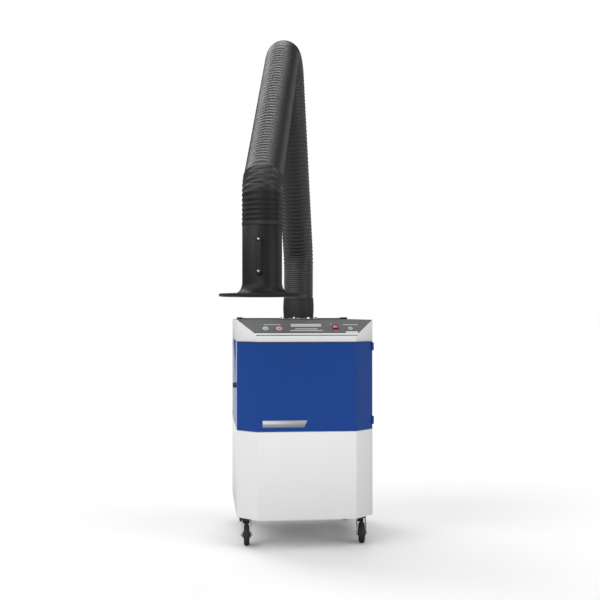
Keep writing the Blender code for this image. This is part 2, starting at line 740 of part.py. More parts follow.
def make_latch():
    face = -HALF - GAP
    base = rod("door_latch", (face, LATCH_Y, LATCH_Z), (face - 0.006, LATCH_Y, LATCH_Z), 0.015)
    wing_low = (face - 0.016, LATCH_Y - 0.0035, LATCH_Z - 0.013)
    wing = cuboid("wing", wing_low, (face - 0.005, LATCH_Y + 0.0035, LATCH_Z + 0.013))
    shaft = rod("shaft", (face - 0.001, LATCH_Y, LATCH_Z), (face + 0.016, LATCH_Y, LATCH_Z), 0.006)
    cam_low = (-HALF + 0.005, LATCH_Y - 0.006, LATCH_Z - 0.006)
    cam = cuboid("cam", cam_low, (-HALF + 0.008, LATCH_Y + 0.040, LATCH_Z + 0.006))
    finish(unite(base, wing, shaft, cam), "dark_paint", origin=(face, LATCH_Y, LATCH_Z))


def make_trim_bar():
    (x0, z0), (x1, z1) = TRIM_BAR
    lean = (z1 - z0) * 0.45
    bar = plate("trim_bar", [[(x0, z0), (x1 - lean, z0), (x1, z1), (x0, z1)]], 0.002)
    finish(transformed(bar, Matrix.Translation((0, -GAP, 0)) @ UPRIGHT), "brushed")


# ---------------------------------------------------------------- casters


def caster_meshes():
    """One caster round its swivel axis, its wheel trailing towards -Y."""
    top = BODY_BOTTOM - GAP
    mount = cuboid("caster_plate", (-0.050, -0.0425, top - 0.003), (0.050, 0.0425, top))
    race = [(0, top - 0.001), (0.027, top - 0.001), (0.027, top - 0.010)]
    race += [(0.022, top - 0.014), (0, top - 0.014)]
    mount = unite(mount, turned_solid("race", race, MIDDLE_ROUND))

    head = top - 0.0145
    fork = rod("caster_fork", (0, 0, head - 0.010), (0, 0, head), 0.026, MIDDLE_ROUND)
    axle = (-CASTER_TRAIL, AXLE_HEIGHT)
    bridge = cuboid("bridge", (-0.024, -0.026, head - 0.010), (0.024, 0.018, head - 0.006))
    side = [(0.018, head - 0.006), (-0.026, head - 0.006)]
    foot = [math.radians(d) for d in (170, 215, 260, 305, 340)]
    side += [(axle[0] + 0.013 * math.cos(a), axle[1] + 0.013 * math.sin(a)) for a in foot]
    legs = []
    for x in (-0.024, 0.021):
        leg = plate("leg", [side], 0.003)
        legs.append(transformed(leg, Matrix.Translation((x, 0, 0)) @ SIDEWAYS))
    bolt = rod("bolt", (-0.027, *axle), (0.027, *axle), AXLE_RADIUS, MIDDLE_ROUND)
    heads = [rod("bolt_head", (s * 0.0238, *axle), (s * 0.0290, *axle), 0.0085, 6) for s in (-1, 1)]
    fork = unite(fork, bridge, *legs, bolt, *heads)

    r, w, bore = WHEEL_RADIUS, WHEEL_HALF, AXLE_RADIUS + 0.0004
    profile = [(r - 0.014, w), (r - 0.005, w), (r, w * 0.45), (r, -w * 0.45), (r - 0.005, -w)]
    profile += [(r - 0.014, -w), (r - 0.017, -w + 0.006), (0.018, -w + 0.006), (0.016, -0.0200)]
    profile += [(bore, -0.0200), (bore, 0.0200), (0.016, 0.0200), (0.018, w - 0.006), (r - 0.017, w - 0.006)]
    wheel = turned("caster_wheel", profile, MIDDLE_ROUND)
    transformed(wheel, Matrix.Translation((0, *axle)) @ Matrix.Rotation(math.radians(90), 4, "Y"))
    return mount, fork, wheel


def make_casters():
    sources = caster_meshes()
    for place, (x, y, turn) in CASTERS.items():
        swivel = Matrix.Translation((x, y, 0)) @ Matrix.Rotation(turn, 4, "Z")
        fixed = Matrix.Translation((x, y, 0))
        for source, matrix in zip(sources, (fixed, swivel, swivel)):
            piece = link(f"{source.name}_{place}", source.data.copy())
            transformed(piece, matrix)
            wheel = source.name == "caster_wheel"
            origin = swivel @ Vector((0, -CASTER_TRAIL, AXLE_HEIGHT)) if wheel else Vector((x, y, 0))
            finish(piece, "rubber" if wheel else "zinc", origin=origin, smooth=35)
    for source in sources:
        bpy.data.objects.remove(source, do_unlink=True)


# ---------------------------------------------------------------- suction arm


def in_arm_plane(point, angle):
    """A frame at (reach, height): local X along the joints' axis and local Z along the link."""
    along = ARM_OUT * math.sin(angle) + Vector((0, 0, 1)) * math.cos(angle)
    across = along.cross(ARM_SIDE)
    turn = Matrix((ARM_SIDE, across, along)).transposed().to_4x4()
    return Matrix.Translation(arm_point(*point)) @ turn


def tongue(name, reach):
    """A link's single ear, round the pin at local Z = 0, going on into its tube up to local Z = reach."""
    ear = rod(name, (-TONGUE_HALF, 0, 0), (TONGUE_HALF, 0, 0), LINK_EYE)
    half_x, half_y = TONGUE_HALF - GAP, LINK_EYE - 0.001
    strap = cuboid("strap", (-half_x, -half_y, 0), (half_x, half_y, LINK_BLOCK[1]))
    tube = rod("tube", (0, 0, LINK_BLOCK[0]), (0, 0, reach), LINK_TUBE)
    hole = rod("pin_hole", (-0.02, 0, 0), (0.02, 0, 0), LINK_PIN + GAP)
    return cut(unite(ear, strap, tube), hole)


def fork_end(name, height):
    """The two lugs and the pin that hold the next link's ear, the pin at local Z = height."""
    near, far = height - LINK_BLOCK[1], height - LINK_BLOCK[0]
    x0, x1, half_y = LUG_INNER, LUG_OUTER, LINK_EYE - 0.001
    section = [(-x1, near), (x1, near), (x1, height), (x0, height)]
    section += [(x0, far), (-x0, far), (-x0, height), (-x1, height)]
    fork = transformed(plate(name, [section], 2 * half_y), Matrix.Translation((0, half_y, 0)) @ UPRIGHT)
    eye_ends = [((s * (x0 + 0.0002), 0, height), (s * (x1 + 0.001), 0, height)) for s in (-1, 1)]
    eyes = [rod("eye", *ends, LINK_EYE) for ends in eye_ends]
    pin = rod("pin", (-x1 - 0.003, 0, height), (x1 + 0.003, 0, height), LINK_PIN)
    return unite(fork, *eyes, pin)


def make_arm_links():
    lower = (Vector(ELBOW_PIVOT) - Vector(BASE_PIVOT)).length
    upper = (Vector(WRIST_PIVOT) - Vector(ELBOW_PIVOT)).length
    links = (("lower_arm", BASE_PIVOT, LOWER_ANGLE, lower), ("upper_arm", ELBOW_PIVOT, UPPER_ANGLE, upper))
    for name, pivot, angle, length in links:
        piece = unite(tongue(name, length - sum(LINK_BLOCK) / 2), fork_end("fork_end", length))
        transformed(piece, in_arm_plane(pivot, angle))
        finish(piece, "zinc", origin=arm_point(*pivot), smooth=35)


def make_arm_base():
    top = BODY_TOP + GAP
    neck = [(0.110, top + 0.004), (0.110, top), (0.0748, top), (0.0748, FLANGE_NECK)]
    neck += [(0.0733, FLANGE_NECK), (0.0733, top + 0.004)]
    flange = turned("arm_flange", neck)
    transformed(flange, Matrix.Translation((0, DUCT_Y, 0)))
    bolts = []
    for i in range(BOLTS):
        a = math.radians(-90 - 14) + 2 * math.pi * i / BOLTS
        x, y = BOLT_CIRCLE * math.cos(a), DUCT_Y + BOLT_CIRCLE * math.sin(a)
        bolts.append(rod("bolt", (x, y, top + 0.003), (x, y, top + 0.011), 0.0075, 6))
    finish(unite(flange, *bolts), "dark_paint", smooth=35)

    seat = top + 0.0045
    foot, bore, head = FLANGE_NECK, 0.0705, 1.278
    spigot = [(0.0770, head), (0.0770, seat + 0.003), (0.0800, seat + 0.003), (0.0800, seat)]
    spigot += [(0.0728, seat), (0.0728, foot), (bore, foot), (bore, seat + 0.005)]
    spigot += [(0.0750, seat + 0.005), (0.0750, head)]
    collar = transformed(turned("swivel_spigot", spigot), Matrix.Translation((0, DUCT_Y, 0)))
    finish(collar, "galvanised", origin=(0, DUCT_Y, 0), smooth=35)

    low, high = seat + 0.0035, HOSE_START - 0.0006
    swell = [(0.0800 + 0.0030 * math.sin(math.pi * i / 4), high + (low - high) * i / 4) for i in range(5)]
    cuff = turned("base_cuff", [*swell, (0.0775, low), (0.0775, high)])
    transformed(cuff, Matrix.Translation((0, DUCT_Y, 0)))
    finish(cuff, "rubber", origin=(0, DUCT_Y, 0), smooth=35)

    reach, height = BASE_PIVOT
    mast_foot = 1.235
    mast = rod("mast", (0, 0, mast_foot + 0.005), (0, 0, height - sum(LINK_BLOCK) / 2), LINK_TUBE)
    yoke = transformed(unite(fork_end("base_yoke", height), mast), in_arm_plane((reach, 0), 0))
    beam = cuboid("beam", (-0.010, -0.0740, mast_foot), (0.010, 0.0740, mast_foot + 0.020))
    transformed(beam, in_arm_plane((0, 0), 0))
    finish(unite(yoke, beam), "zinc", origin=(0, DUCT_Y, 0), smooth=35)


def hose_piece(name, line, origin):
    """An open hose along points in the arm's side view."""
    curve = bpy.data.curves.new(name, "CURVE")
    curve.dimensions = "3D"
    curve.bevel_depth = HOSE_RADIUS
    curve.bevel_resolution = 5
    curve.use_fill_caps = False
    spline = curve.splines.new("POLY")
    spline.points.add(len(line) - 1)
    for point, (reach, height) in zip(spline.points, line):
        point.co = (*arm_point(reach, height), 1)
    hose = from_curve(name, curve)
    finish(thickened(hose, HOSE_WALL), "hose", origin=origin, smooth=35)


def make_hoses():
    base, elbow, wrist = BENDS
    swivel = (0, DUCT_Y, 0)
    lower_start = advance(bend_end(base), LOWER_ANGLE, HOSE_JOIN)
    lower_end = advance(elbow[0], LOWER_ANGLE, -HOSE_JOIN)
    upper_start = advance(bend_end(elbow), UPPER_ANGLE, HOSE_JOIN)
    upper_end = advance(wrist[0], UPPER_ANGLE, -HOSE_JOIN)
    before_lower = advance(lower_start, LOWER_ANGLE, -GAP)
    hose_piece("hose_base", [(0, HOSE_START), *bend_points(base), before_lower], swivel)
    hose_piece("hose_lower", [lower_start, lower_end], arm_point(*BASE_PIVOT))
    after_lower = advance(lower_end, LOWER_ANGLE, GAP)
    before_upper = advance(upper_start, UPPER_ANGLE, -GAP)
    hose_piece("hose_elbow", [after_lower, *bend_points(elbow), before_upper], arm_point(*BASE_PIVOT))
    hose_piece("hose_upper", [upper_start, upper_end], arm_point(*ELBOW_PIVOT))
    after_upper = advance(upper_end, UPPER_ANGLE, GAP)
    ending = [*bend_points(wrist), (HOOD_REACH, HOOD_TOP + 0.0045)]
    hose_piece("hose_wrist", [after_upper, *ending], arm_point(*ELBOW_PIVOT))


def make_hood():
    place = arm_point(HOOD_REACH, 0)
    flare = [(DUCT_RADIUS, FLARE_TOP)]
    for i in range(1, FLARE_STEPS + 1):
        a = math.radians(90) * i / FLARE_STEPS
        out = FLARE_RADIUS - (FLARE_RADIUS - DUCT_RADIUS) * math.cos(a)
        flare.append((out, FLARE_TOP - (FLARE_TOP - BRIM_TOP) * math.sin(a)))
    soft = 0.0055
    brim = [(BRIM_RADIUS - soft, BRIM_TOP), (BRIM_RADIUS, BRIM_TOP - 0.004)]
    brim += [(BRIM_RADIUS, BRIM_BOTTOM + 0.004), (BRIM_RADIUS - soft, BRIM_BOTTOM)]
    mouth = [(DUCT_BORE + 0.008, BRIM_BOTTOM), (DUCT_BORE, BRIM_BOTTOM + 0.010)]
    lip = [(DUCT_BORE, 1.530), (0.0725, 1.530), (0.0725, 1.535), (DUCT_BORE, 1.535)]
    profile = [(DUCT_RADIUS, HOOD_TOP), *flare, *brim, *mouth, *lip, (DUCT_BORE, HOOD_TOP)]
    hood = transformed(turned("hood", profile), Matrix.Translation(place))
    finish(hood, "black_plastic", origin=place, smooth=35)

    rest = HOOD_TOP + GAP
    outer, bore, head = 0.0715, 0.0690, 1.584
    ring = [(outer, head), (outer, rest + 0.003), (DUCT_RADIUS, rest + 0.003), (DUCT_RADIUS, rest)]
    ring += [(outer, rest), (outer, 1.526), (0.0750, 1.526), (0.0750, 1.522), (bore, 1.522), (bore, head)]
    collar = transformed(turned("wrist_ring", ring), Matrix.Translation(place))
    beam = cuboid("beam", (-0.010, -0.0700, 1.568), (0.010, 0.0700, 1.583))
    transformed(beam, in_arm_plane((HOOD_REACH, 0), 0))
    hanger = tongue("hanger", WRIST_PIVOT[1] - 1.575)
    transformed(hanger, in_arm_plane(WRIST_PIVOT, math.pi))
    finish(unite(collar, beam, hanger), "zinc", origin=arm_point(*WRIST_PIVOT), smooth=35)

    grip = cuboid("hood_handle", (-0.0120, 0.1000, GRIP_SCREWS[0]), (0.0120, 0.1120, GRIP_SCREWS[1]))
    posts = [rod("post", (0, DUCT_RADIUS + 0.0008, z), (0, 0.1125, z), 0.0135) for z in GRIP_SCREWS]
    grip = unite(grip, *posts)
    facing = Matrix((ARM_SIDE * -1, ARM_OUT, Vector((0, 0, 1)))).transposed().to_4x4()
    transformed(grip, Matrix.Translation(place) @ facing)
    finish(grip, "black_plastic", origin=place, smooth=35)


def build():
    make_base_pan()
    make_casings()
    make_side_covers()
    make_rear_panel()
    make_top_cover()
    make_control_panel()
    make_lamps()
    make_switch()
    make_shelves()
    make_filters()
    make_fan()
    make_control_box()
    make_handle()
    make_gland()
    make_door()
    make_latch()
    make_trim_bar()
    make_casters()
    make_arm_base()
    make_arm_links()
    make_hoses()
    make_hood()


build()
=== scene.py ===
"""The looks of a mobile fume extractor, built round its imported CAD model. Metres, +Z up."""

import json
import math
import random

import bmesh
import bpy
from mathutils import Matrix, Vector


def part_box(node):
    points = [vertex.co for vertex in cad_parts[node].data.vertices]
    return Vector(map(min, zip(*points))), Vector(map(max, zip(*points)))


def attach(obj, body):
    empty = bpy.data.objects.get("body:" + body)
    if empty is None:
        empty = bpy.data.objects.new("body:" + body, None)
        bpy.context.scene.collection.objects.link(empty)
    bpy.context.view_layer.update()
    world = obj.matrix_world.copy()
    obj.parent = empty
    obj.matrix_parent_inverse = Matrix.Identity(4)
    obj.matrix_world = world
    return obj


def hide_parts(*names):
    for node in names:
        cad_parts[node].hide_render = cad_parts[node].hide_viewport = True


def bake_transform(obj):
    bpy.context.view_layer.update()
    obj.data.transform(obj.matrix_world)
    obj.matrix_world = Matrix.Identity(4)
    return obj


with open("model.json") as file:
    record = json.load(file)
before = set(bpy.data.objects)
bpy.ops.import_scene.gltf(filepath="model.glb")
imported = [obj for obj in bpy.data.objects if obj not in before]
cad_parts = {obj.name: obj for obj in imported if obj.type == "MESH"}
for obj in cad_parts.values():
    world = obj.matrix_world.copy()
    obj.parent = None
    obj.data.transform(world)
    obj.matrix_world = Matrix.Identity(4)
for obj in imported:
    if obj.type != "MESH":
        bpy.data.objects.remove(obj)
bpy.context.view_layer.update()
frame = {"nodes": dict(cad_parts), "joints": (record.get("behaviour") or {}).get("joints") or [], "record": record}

# ---------------------------------------------------------------- measures

# The machine's own plan has its middle line at x = 0, its front face at y = 0 and its underside at z = 0.158
BODY_BOTTOM = 0.158
PAN_LOW, PAN_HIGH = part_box("base_pan")
ORIGIN = Vector(((PAN_LOW.x + PAN_HIGH.x) / 2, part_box("lower_casing")[0].y, PAN_LOW.z - BODY_BOTTOM))
HALF = (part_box("lower_casing")[1].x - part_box("lower_casing")[0].x) / 2
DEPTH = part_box("rear_panel")[1].y - ORIGIN.y
BODY_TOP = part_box("top_cover")[1].z - ORIGIN.z
SLOPE_FOOT = 1.082
CHAMFER = (0.100, 0.104)
CASING_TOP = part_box("lower_casing")[1].z - ORIGIN.z
DOOR_BOTTOM, DOOR_TOP = (corner.z - ORIGIN.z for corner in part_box("filter_door"))

SLOPE_ANGLE = math.atan2(BODY_TOP - SLOPE_FOOT, CHAMFER[1])
SLOPE = Matrix.Translation(ORIGIN + Vector((0, 0, SLOPE_FOOT))) @ Matrix.Rotation(SLOPE_ANGLE, 4, "X")
PANEL_FACE = 0.0015
MARK_LIFT = 0.00012
LAMP_UP = 0.057
# Each lamp's place across the console, and its bezel's radius
LAMPS = {"lamp_running": (-0.207, 0.016), "lamp_fault": (-0.138, 0.016), "lamp_power": (0.226, 0.012)}

JOINTS = {joint["name"]: joint for joint in frame["joints"]}
SWIVEL = Vector(JOINTS["arm_swivel"]["pos_m"])
ARM_SIDE = Vector(JOINTS["arm_tilt"]["axis"])
ARM_OUT = ARM_SIDE.cross(Vector((0, 0, 1)))

# The hose: its side view is drawn in (reach from the swivel axis, height). BENDS are (radius, angle)
HOSE_RADIUS = 0.0790
HOSE_BORE = 0.0715
HOSE_START = 1.2803
BEND_START = 1.442
BENDS = ((0.200, math.radians(31.97)), (0.180, math.radians(101.95)), (0.150, math.radians(46.08)))
STRAIGHTS = (0.935, 0.902, 0.0893)
HOSE_JOIN = 0.120
HOSE_COLUMNS = 88
RIB_ROWS = 8
PUCKER = 0.00014
# The cloth gets duller along this stretch of the wrist's bend, from the first gloss to the second
WRIST_DULL = (2.498, 2.530)
CLOTH_GLOSS = 0.72
WRIST_GLOSS = 0.22

HOOD_AXIS = Vector(JOINTS["hood_swivel"]["pos_m"])
HOOD_TOP = HOOD_AXIS.z - ORIGIN.z
BRIM_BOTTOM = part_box("hood")[0].z - ORIGIN.z
BRIM_TOP = BRIM_BOTTOM + 0.013
BRIM_RADIUS = (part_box("hood")[1].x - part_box("hood")[0].x) / 2
DUCT_RADIUS = 0.0799
DUCT_BORE = 0.0765
GRIP_SCREWS = (1.358, 1.484)

# Turns of a piece made lying on XY or standing on Z
UPRIGHT = Matrix.Rotation(math.radians(90), 4, "X")
UPSIDE_DOWN = Matrix.Rotation(math.pi, 4, "X")
ALONG_X = Matrix.Rotation(math.radians(90), 4, "Y")
ALONG_Y = Matrix.Rotation(math.radians(-90), 4, "X")
QUARTER_TURN = Matrix.Rotation(math.radians(90), 4, "Z")


def at(x, y, z):
    """A point given in the cabinet's own plan."""
    return ORIGIN + Vector((x, y, z))


def arm_point(reach, height):
    """A point in the plane that the arm bends in."""
    return Vector((SWIVEL.x, SWIVEL.y, ORIGIN.z + height)) + ARM_OUT * reach


# ---------------------------------------------------------------- materials


def node(tree, kind, **sockets):
    """A new node with values on its own sockets."""
    made = tree.nodes.new(kind)
    for name, value in sockets.items():
        made.inputs[name.replace("_", " ")].default_value = value
    return made


def surface(name, colour, roughness, metallic=0.0, grain=900, bump=0.05, mottle=0.06, specular=0.5, **more):
    """A Principled surface with fine relief, a little colour variation and uneven gloss."""
    material = bpy.data.materials.new(name)
    material.use_nodes = True
    tree = material.node_tree
    shader = tree.nodes["Principled BSDF"]
    shader.inputs["Metallic"].default_value = metallic
    shader.inputs["Specular IOR Level"].default_value = specular
    for socket, value in more.items():
        shader.inputs[socket.replace("_", " ")].default_value = value

    place = tree.nodes.new("ShaderNodeTexCoord")
    fine = node(tree, "ShaderNodeTexNoise", Scale=grain, Detail=3.0, Roughness=0.6)
    broad = node(tree, "ShaderNodeTexNoise", Scale=9.0, Detail=4.0, Roughness=0.55)
    for texture in (fine, broad):
        tree.links.new(place.outputs["Object"], texture.inputs["Vector"])

    tint = tree.nodes.new("ShaderNodeMix")
    tint.data_type = "RGBA"
    tint.inputs["A"].default_value = (*[c * (1 - mottle) for c in colour], 1)
    tint.inputs["B"].default_value = (*[min(1, c * (1 + mottle)) for c in colour], 1)
    tree.links.new(broad.outputs["Fac"], tint.inputs["Factor"])
    tree.links.new(tint.outputs["Result"], shader.inputs["Base Color"])

    gloss = node(tree, "ShaderNodeMapRange", To_Min=roughness * 0.88, To_Max=roughness * 1.12)
    tree.links.new(broad.outputs["Fac"], gloss.inputs["Value"])
    tree.links.new(gloss.outputs["Result"], shader.inputs["Roughness"])

    relief = node(tree, "ShaderNodeBump", Strength=bump, Distance=0.001)
    tree.links.new(fine.outputs["Fac"], relief.inputs["Height"])
    tree.links.new(relief.outputs["Normal"], shader.inputs["Normal"])
    return material


def brushed(name, colour, roughness, stretch, bump=0.04):
    """Metal with fine parallel scratches: stretch says how dense they are along X, Y and Z."""
    material = surface(name, colour, roughness, metallic=1.0, grain=1.0, bump=bump, mottle=0.05)
    tree = material.node_tree
    mapping = node(tree, "ShaderNodeMapping", Scale=stretch)
    place = next(n for n in tree.nodes if n.type == "TEX_COORD")
    fine = next(n for n in tree.nodes if n.type == "TEX_NOISE" and n.inputs["Scale"].default_value == 1.0)
    tree.links.new(place.outputs["Object"], mapping.inputs["Vector"])
    tree.links.new(mapping.outputs["Vector"], fine.inputs["Vector"])
    return material


def woven(name, colour, roughness):
    """Coated hose cloth: a fine square weave laid out on the hose's own unrolled surface."""
    material = surface(name, colour, roughness, grain=350, bump=0.10, mottle=0.12, specular=CLOTH_GLOSS)
    tree = material.node_tree
    relief = next(n for n in tree.nodes if n.type == "BUMP")
    fine = relief.inputs["Height"].links[0].from_socket
    unrolled = tree.nodes.new("ShaderNodeUVMap")
    unrolled.uv_map = "unrolled"
    threads = []
    for direction in ("X", "Y"):
        wave = node(tree, "ShaderNodeTexWave", Scale=150.0, Distortion=0.4, Detail=1.0)
        wave.bands_direction = direction
        tree.links.new(unrolled.outputs["UV"], wave.inputs["Vector"])
        threads.append(wave)
    cloth = tree.nodes.new("ShaderNodeMath")
    cloth.operation = "MAXIMUM"
    for i, wave in enumerate(threads):
        tree.links.new(wave.outputs["Fac"], cloth.inputs[i])
    both = tree.nodes.new("ShaderNodeMath")
    both.operation = "ADD"
    tree.links.new(cloth.outputs["Value"], both.inputs[0])
    tree.links.new(fine, both.inputs[1])
    tree.links.new(both.outputs["Value"], relief.inputs["Height"])

    distance = tree.nodes.new("ShaderNodeSeparateXYZ")
    dulling = node(tree, "ShaderNodeMapRange", To_Min=CLOTH_GLOSS, To_Max=WRIST_GLOSS)
    dulling.inputs["From Min"].default_value, dulling.inputs["From Max"].default_value = WRIST_DULL
    tree.links.new(unrolled.outputs["UV"], distance.inputs[0])
    tree.links.new(distance.outputs["Y"], dulling.inputs["Value"])
    tree.links.new(dulling.outputs["Result"], tree.nodes["Principled BSDF"].inputs["Specular IOR Level"])
    return material


MATERIALS = {
    "white_paint": surface(
        "white_paint", (0.84, 0.84, 0.84), 0.45, grain=520, bump=0.035, mottle=0.008, specular=0.16
    ),
    "blue_paint": surface(
        "blue_paint", (0.0046, 0.053, 0.280), 0.45, grain=520, bump=0.02, mottle=0.03, specular=0.10,
        Coat_Weight=0.45, Coat_Roughness=0.10,
    ),
    "panel_grey": surface("panel_grey", (0.078, 0.078, 0.081), 0.55, grain=800, bump=0.05, mottle=0.04),
    "dark_paint": surface("dark_paint", (0.028, 0.028, 0.030), 0.48, grain=600, bump=0.05),
    "black_plastic": surface(
        "black_plastic", (0.0098, 0.0098, 0.0103), 0.48, grain=700, bump=0.06, mottle=0.10, specular=0.25
    ),
    "hose": woven("hose", (0.0122, 0.0122, 0.0127), 0.45),
    "rubber": surface("rubber", (0.0120, 0.0120, 0.0122), 0.60, grain=450, bump=0.10, mottle=0.12),
    "tyre": surface("tyre", (0.0130, 0.0128, 0.0125), 0.68, grain=380, bump=0.16, mottle=0.18),
    "zinc": surface("zinc", (0.40, 0.40, 0.42), 0.34, metallic=1.0, grain=260, bump=0.04, mottle=0.08),
    "galvanised": surface(
        "galvanised", (0.46, 0.48, 0.49), 0.44, metallic=1.0, grain=60, bump=0.03, mottle=0.22
    ),
    "bright_steel": surface(
        "bright_steel", (0.78, 0.78, 0.79), 0.20, metallic=1.0, grain=900, bump=0.02, mottle=0.03
    ),
    "brushed": brushed("brushed", (0.52, 0.53, 0.57), 0.52, (12.0, 900.0, 900.0)),
    "filter_media": surface(
        "filter_media", (0.78, 0.76, 0.70), 0.92, grain=1400, bump=0.25, mottle=0.05, specular=0.2
    ),
    "label": surface("label", (0.78, 0.78, 0.77), 0.38, grain=1200, bump=0.02, mottle=0.01),
    "print": surface("print", (0.42, 0.42, 0.42), 0.50, grain=1200, bump=0.02, mottle=0.02),
    "bezel": surface("bezel", (0.40, 0.40, 0.40), 0.30, grain=900, bump=0.02, mottle=0.02),
    "red_plastic": surface("red_plastic", (0.62, 0.035, 0.030), 0.26, grain=1500, bump=0.02, mottle=0.04),
    "green_lens": surface("green_lens", (0.10, 0.52, 0.20), 0.16, grain=300, bump=0.03, mottle=0.10),
    "red_lens": surface("red_lens", (0.58, 0.09, 0.09), 0.16, grain=300, bump=0.03, mottle=0.10),
}


# ---------------------------------------------------------------- mesh tools


def merge(bm, part, place=Matrix()):
    """Moves a finished part into place and adds it to a bigger mesh."""
    bmesh.ops.recalc_face_normals(part, faces=part.faces)
    part.transform(place)
    mesh = bpy.data.meshes.new("part")
    part.to_mesh(mesh)
    part.free()
    bm.from_mesh(mesh)
    bpy.data.meshes.remove(mesh)


def piece(name, bm, slot, body, replaces=(), sharp=38, look=None):
    """Makes a mesh a named piece with its slot's material, or another look, riding on a body."""
    mesh = bpy.data.meshes.new(name)
    bm.to_mesh(mesh)
    bm.free()
    mesh.materials.append(MATERIALS[look or slot])
    mesh.shade_smooth()
    mesh.set_sharp_from_angle(angle=math.radians(sharp))
    obj = bpy.data.objects.new(name, mesh)
    bpy.context.scene.collection.objects.link(obj)
    if body:
        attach(obj, body)
    if replaces:
        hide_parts(*replaces)
    return obj


def softened(outline, radius, steps=3):
    """Rounds the corners of a closed outline, apart from those on the turning axis."""
    made = []
    count = len(outline)
    for i, point in enumerate(outline):
        here, before, after = Vector(point), Vector(outline[i - 1]), Vector(outline[(i + 1) % count])
        reach = min(radius, 0.45 * (here - before).length, 0.45 * (after - here).length)
        turn = (here - before).angle(after - here, 0)
        if abs(here.x) < 1e-6 or turn < math.radians(12):
            made.append(tuple(here))
            continue
        start, end = here + (before - here).normalized() * reach, here + (after - here).normalized() * reach
        for k in range(steps + 1):
            t = k / steps
            made.append(tuple(start * (1 - t) ** 2 + here * 2 * t * (1 - t) + end * t ** 2))
    return made


def add_lathe(bm, profile, place=Matrix(), steps=72):
    """Turns a closed (radius, height) outline about Z."""
    part = bmesh.new()
    rings = []
    for radius, height in profile:
        if radius < 1e-6:
            rings.append([part.verts.new((0, 0, height))] * steps)
            continue
        turns = [2 * math.pi * k / steps for k in range(steps)]
        rings.append([part.verts.new((radius * math.cos(a), radius * math.sin(a), height)) for a in turns])
    for i, ring in enumerate(rings):
        after = rings[(i + 1) % len(rings)]
        for k in range(steps):
            corners = [ring[k], ring[(k + 1) % steps], after[(k + 1) % steps], after[k]]
            corners = [v for j, v in enumerate(corners) if v not in corners[:j]]
            if len(corners) > 2:
                part.faces.new(corners)
    merge(bm, part, place)


def add_box(bm, low, high, place=Matrix(), soft=0.001, segments=2):
    """A box between two corners, with bevelled edges."""
    low, high = Vector(low), Vector(high)
    part = bmesh.new()
    size = Matrix.Diagonal((*(high - low), 1))
    bmesh.ops.create_cube(part, size=1, matrix=Matrix.Translation((low + high) / 2) @ size)
    if soft:
        bmesh.ops.bevel(part, geom=part.edges[:], offset=soft, segments=segments, affect="EDGES", profile=0.5)
    merge(bm, part, place)


def add_prism(bm, outline, depth, place=Matrix(), soft=0.0):
    """A flat outline in XY, raised along Z."""
    part = bmesh.new()
    foot = part.faces.new([part.verts.new((x, y, 0)) for x, y in outline])
    raised = bmesh.ops.extrude_face_region(part, geom=[foot])["geom"]
    verts = [v for v in raised if isinstance(v, bmesh.types.BMVert)]
    bmesh.ops.translate(part, verts=verts, vec=(0, 0, depth))
    if soft:
        level = [e for e in part.edges if abs(e.verts[0].co.z - e.verts[1].co.z) < 1e-7]
        bmesh.ops.bevel(part, geom=level, offset=soft, segments=2, affect="EDGES", profile=0.5)
    merge(bm, part, place)


def add_bolt(bm, place, across=0.013, height=0.0075, washer=0.0115):
    """A hexagon head on its washer, standing on the place's XY plane."""
    add_lathe(bm, softened([(0, 0.0016), (washer, 0.0016), (washer, 0), (0, 0)], 0.0005), place, 28)
    part = bmesh.new()
    radius = across / 2 / math.cos(math.radians(30))
    upright = Matrix.Translation((0, 0, 0.0015 + height / 2))
    bmesh.ops.create_cone(
        part, cap_ends=True, segments=6, radius1=radius, radius2=radius, depth=height, matrix=upright
    )
    bmesh.ops.bevel(part, geom=part.edges[:], offset=0.0007, segments=2, affect="EDGES", profile=0.5)
    merge(bm, part, place)


def add_screw(bm, place, radius=0.0045, height=0.0026):
    """A round-headed socket screw."""
    socket = radius * 0.42
    head = [(0, height * 0.35), (socket, height * 0.35), (socket, height), (radius * 0.7, height * 0.93)]
    head += [(radius * 0.95, height * 0.55), (radius, 0), (0, 0)]
    add_lathe(bm, head, place, 24)


def facing(point, normal, up=(0, 0, 1)):
    """A frame at a point whose Z is the surface's normal and whose Y leans up."""
    out = Vector(normal).normalized()
    across = Vector(up).cross(out).normalized()
    turn = Matrix((across, out.cross(across), out)).transposed().to_4x4()
    return Matrix.Translation(point) @ turn


# ---------------------------------------------------------------- carried-over CAD nodes


# How wide the bevel on each sheet-metal node is
SOFT_EDGES = {
    "lower_casing": 0.0007,
    "upper_casing": 0.0007,
    "side_cover_left": 0.0007,
    "side_cover_right": 0.0007,
    "rear_panel": 0.0005,
    "base_pan": 0.0008,
    "trim_bar": 0.0004,
    "handle_bracket_left": 0.0025,
    "handle_bracket_right": 0.0025,
    "switch_rocker": 0.0006,
    "switch_frame": 0.0005,
    "motor_stand": 0.0008,
}


def dress_cad_nodes():
    """Gives each CAD node its slot's material, and takes the hard edge off the sheet metal."""
    fold = math.radians(30)
    for row in frame["record"]["subparts"]:
        obj = frame["nodes"][row["node"]]
        obj.data.materials.clear()
        obj.data.materials.append(MATERIALS[row["material_slot"]])
        obj.data.shade_smooth()
        obj.data.set_sharp_from_angle(angle=fold)
    for name, width in SOFT_EDGES.items():
        obj = frame["nodes"][name]
        weld = obj.modifiers.new("weld", "WELD")
        weld.merge_threshold = 0.00002
        bevel = obj.modifiers.new("soft_edges", "BEVEL")
        bevel.width = width
        bevel.segments = 2
        bevel.limit_method = "ANGLE"
        bevel.angle_limit = fold


# ---------------------------------------------------------------- hose


def advance(point, angle, length):
    """Where a straight run ends."""
    return (point[0] + length * math.sin(angle), point[1] + length * math.cos(angle))


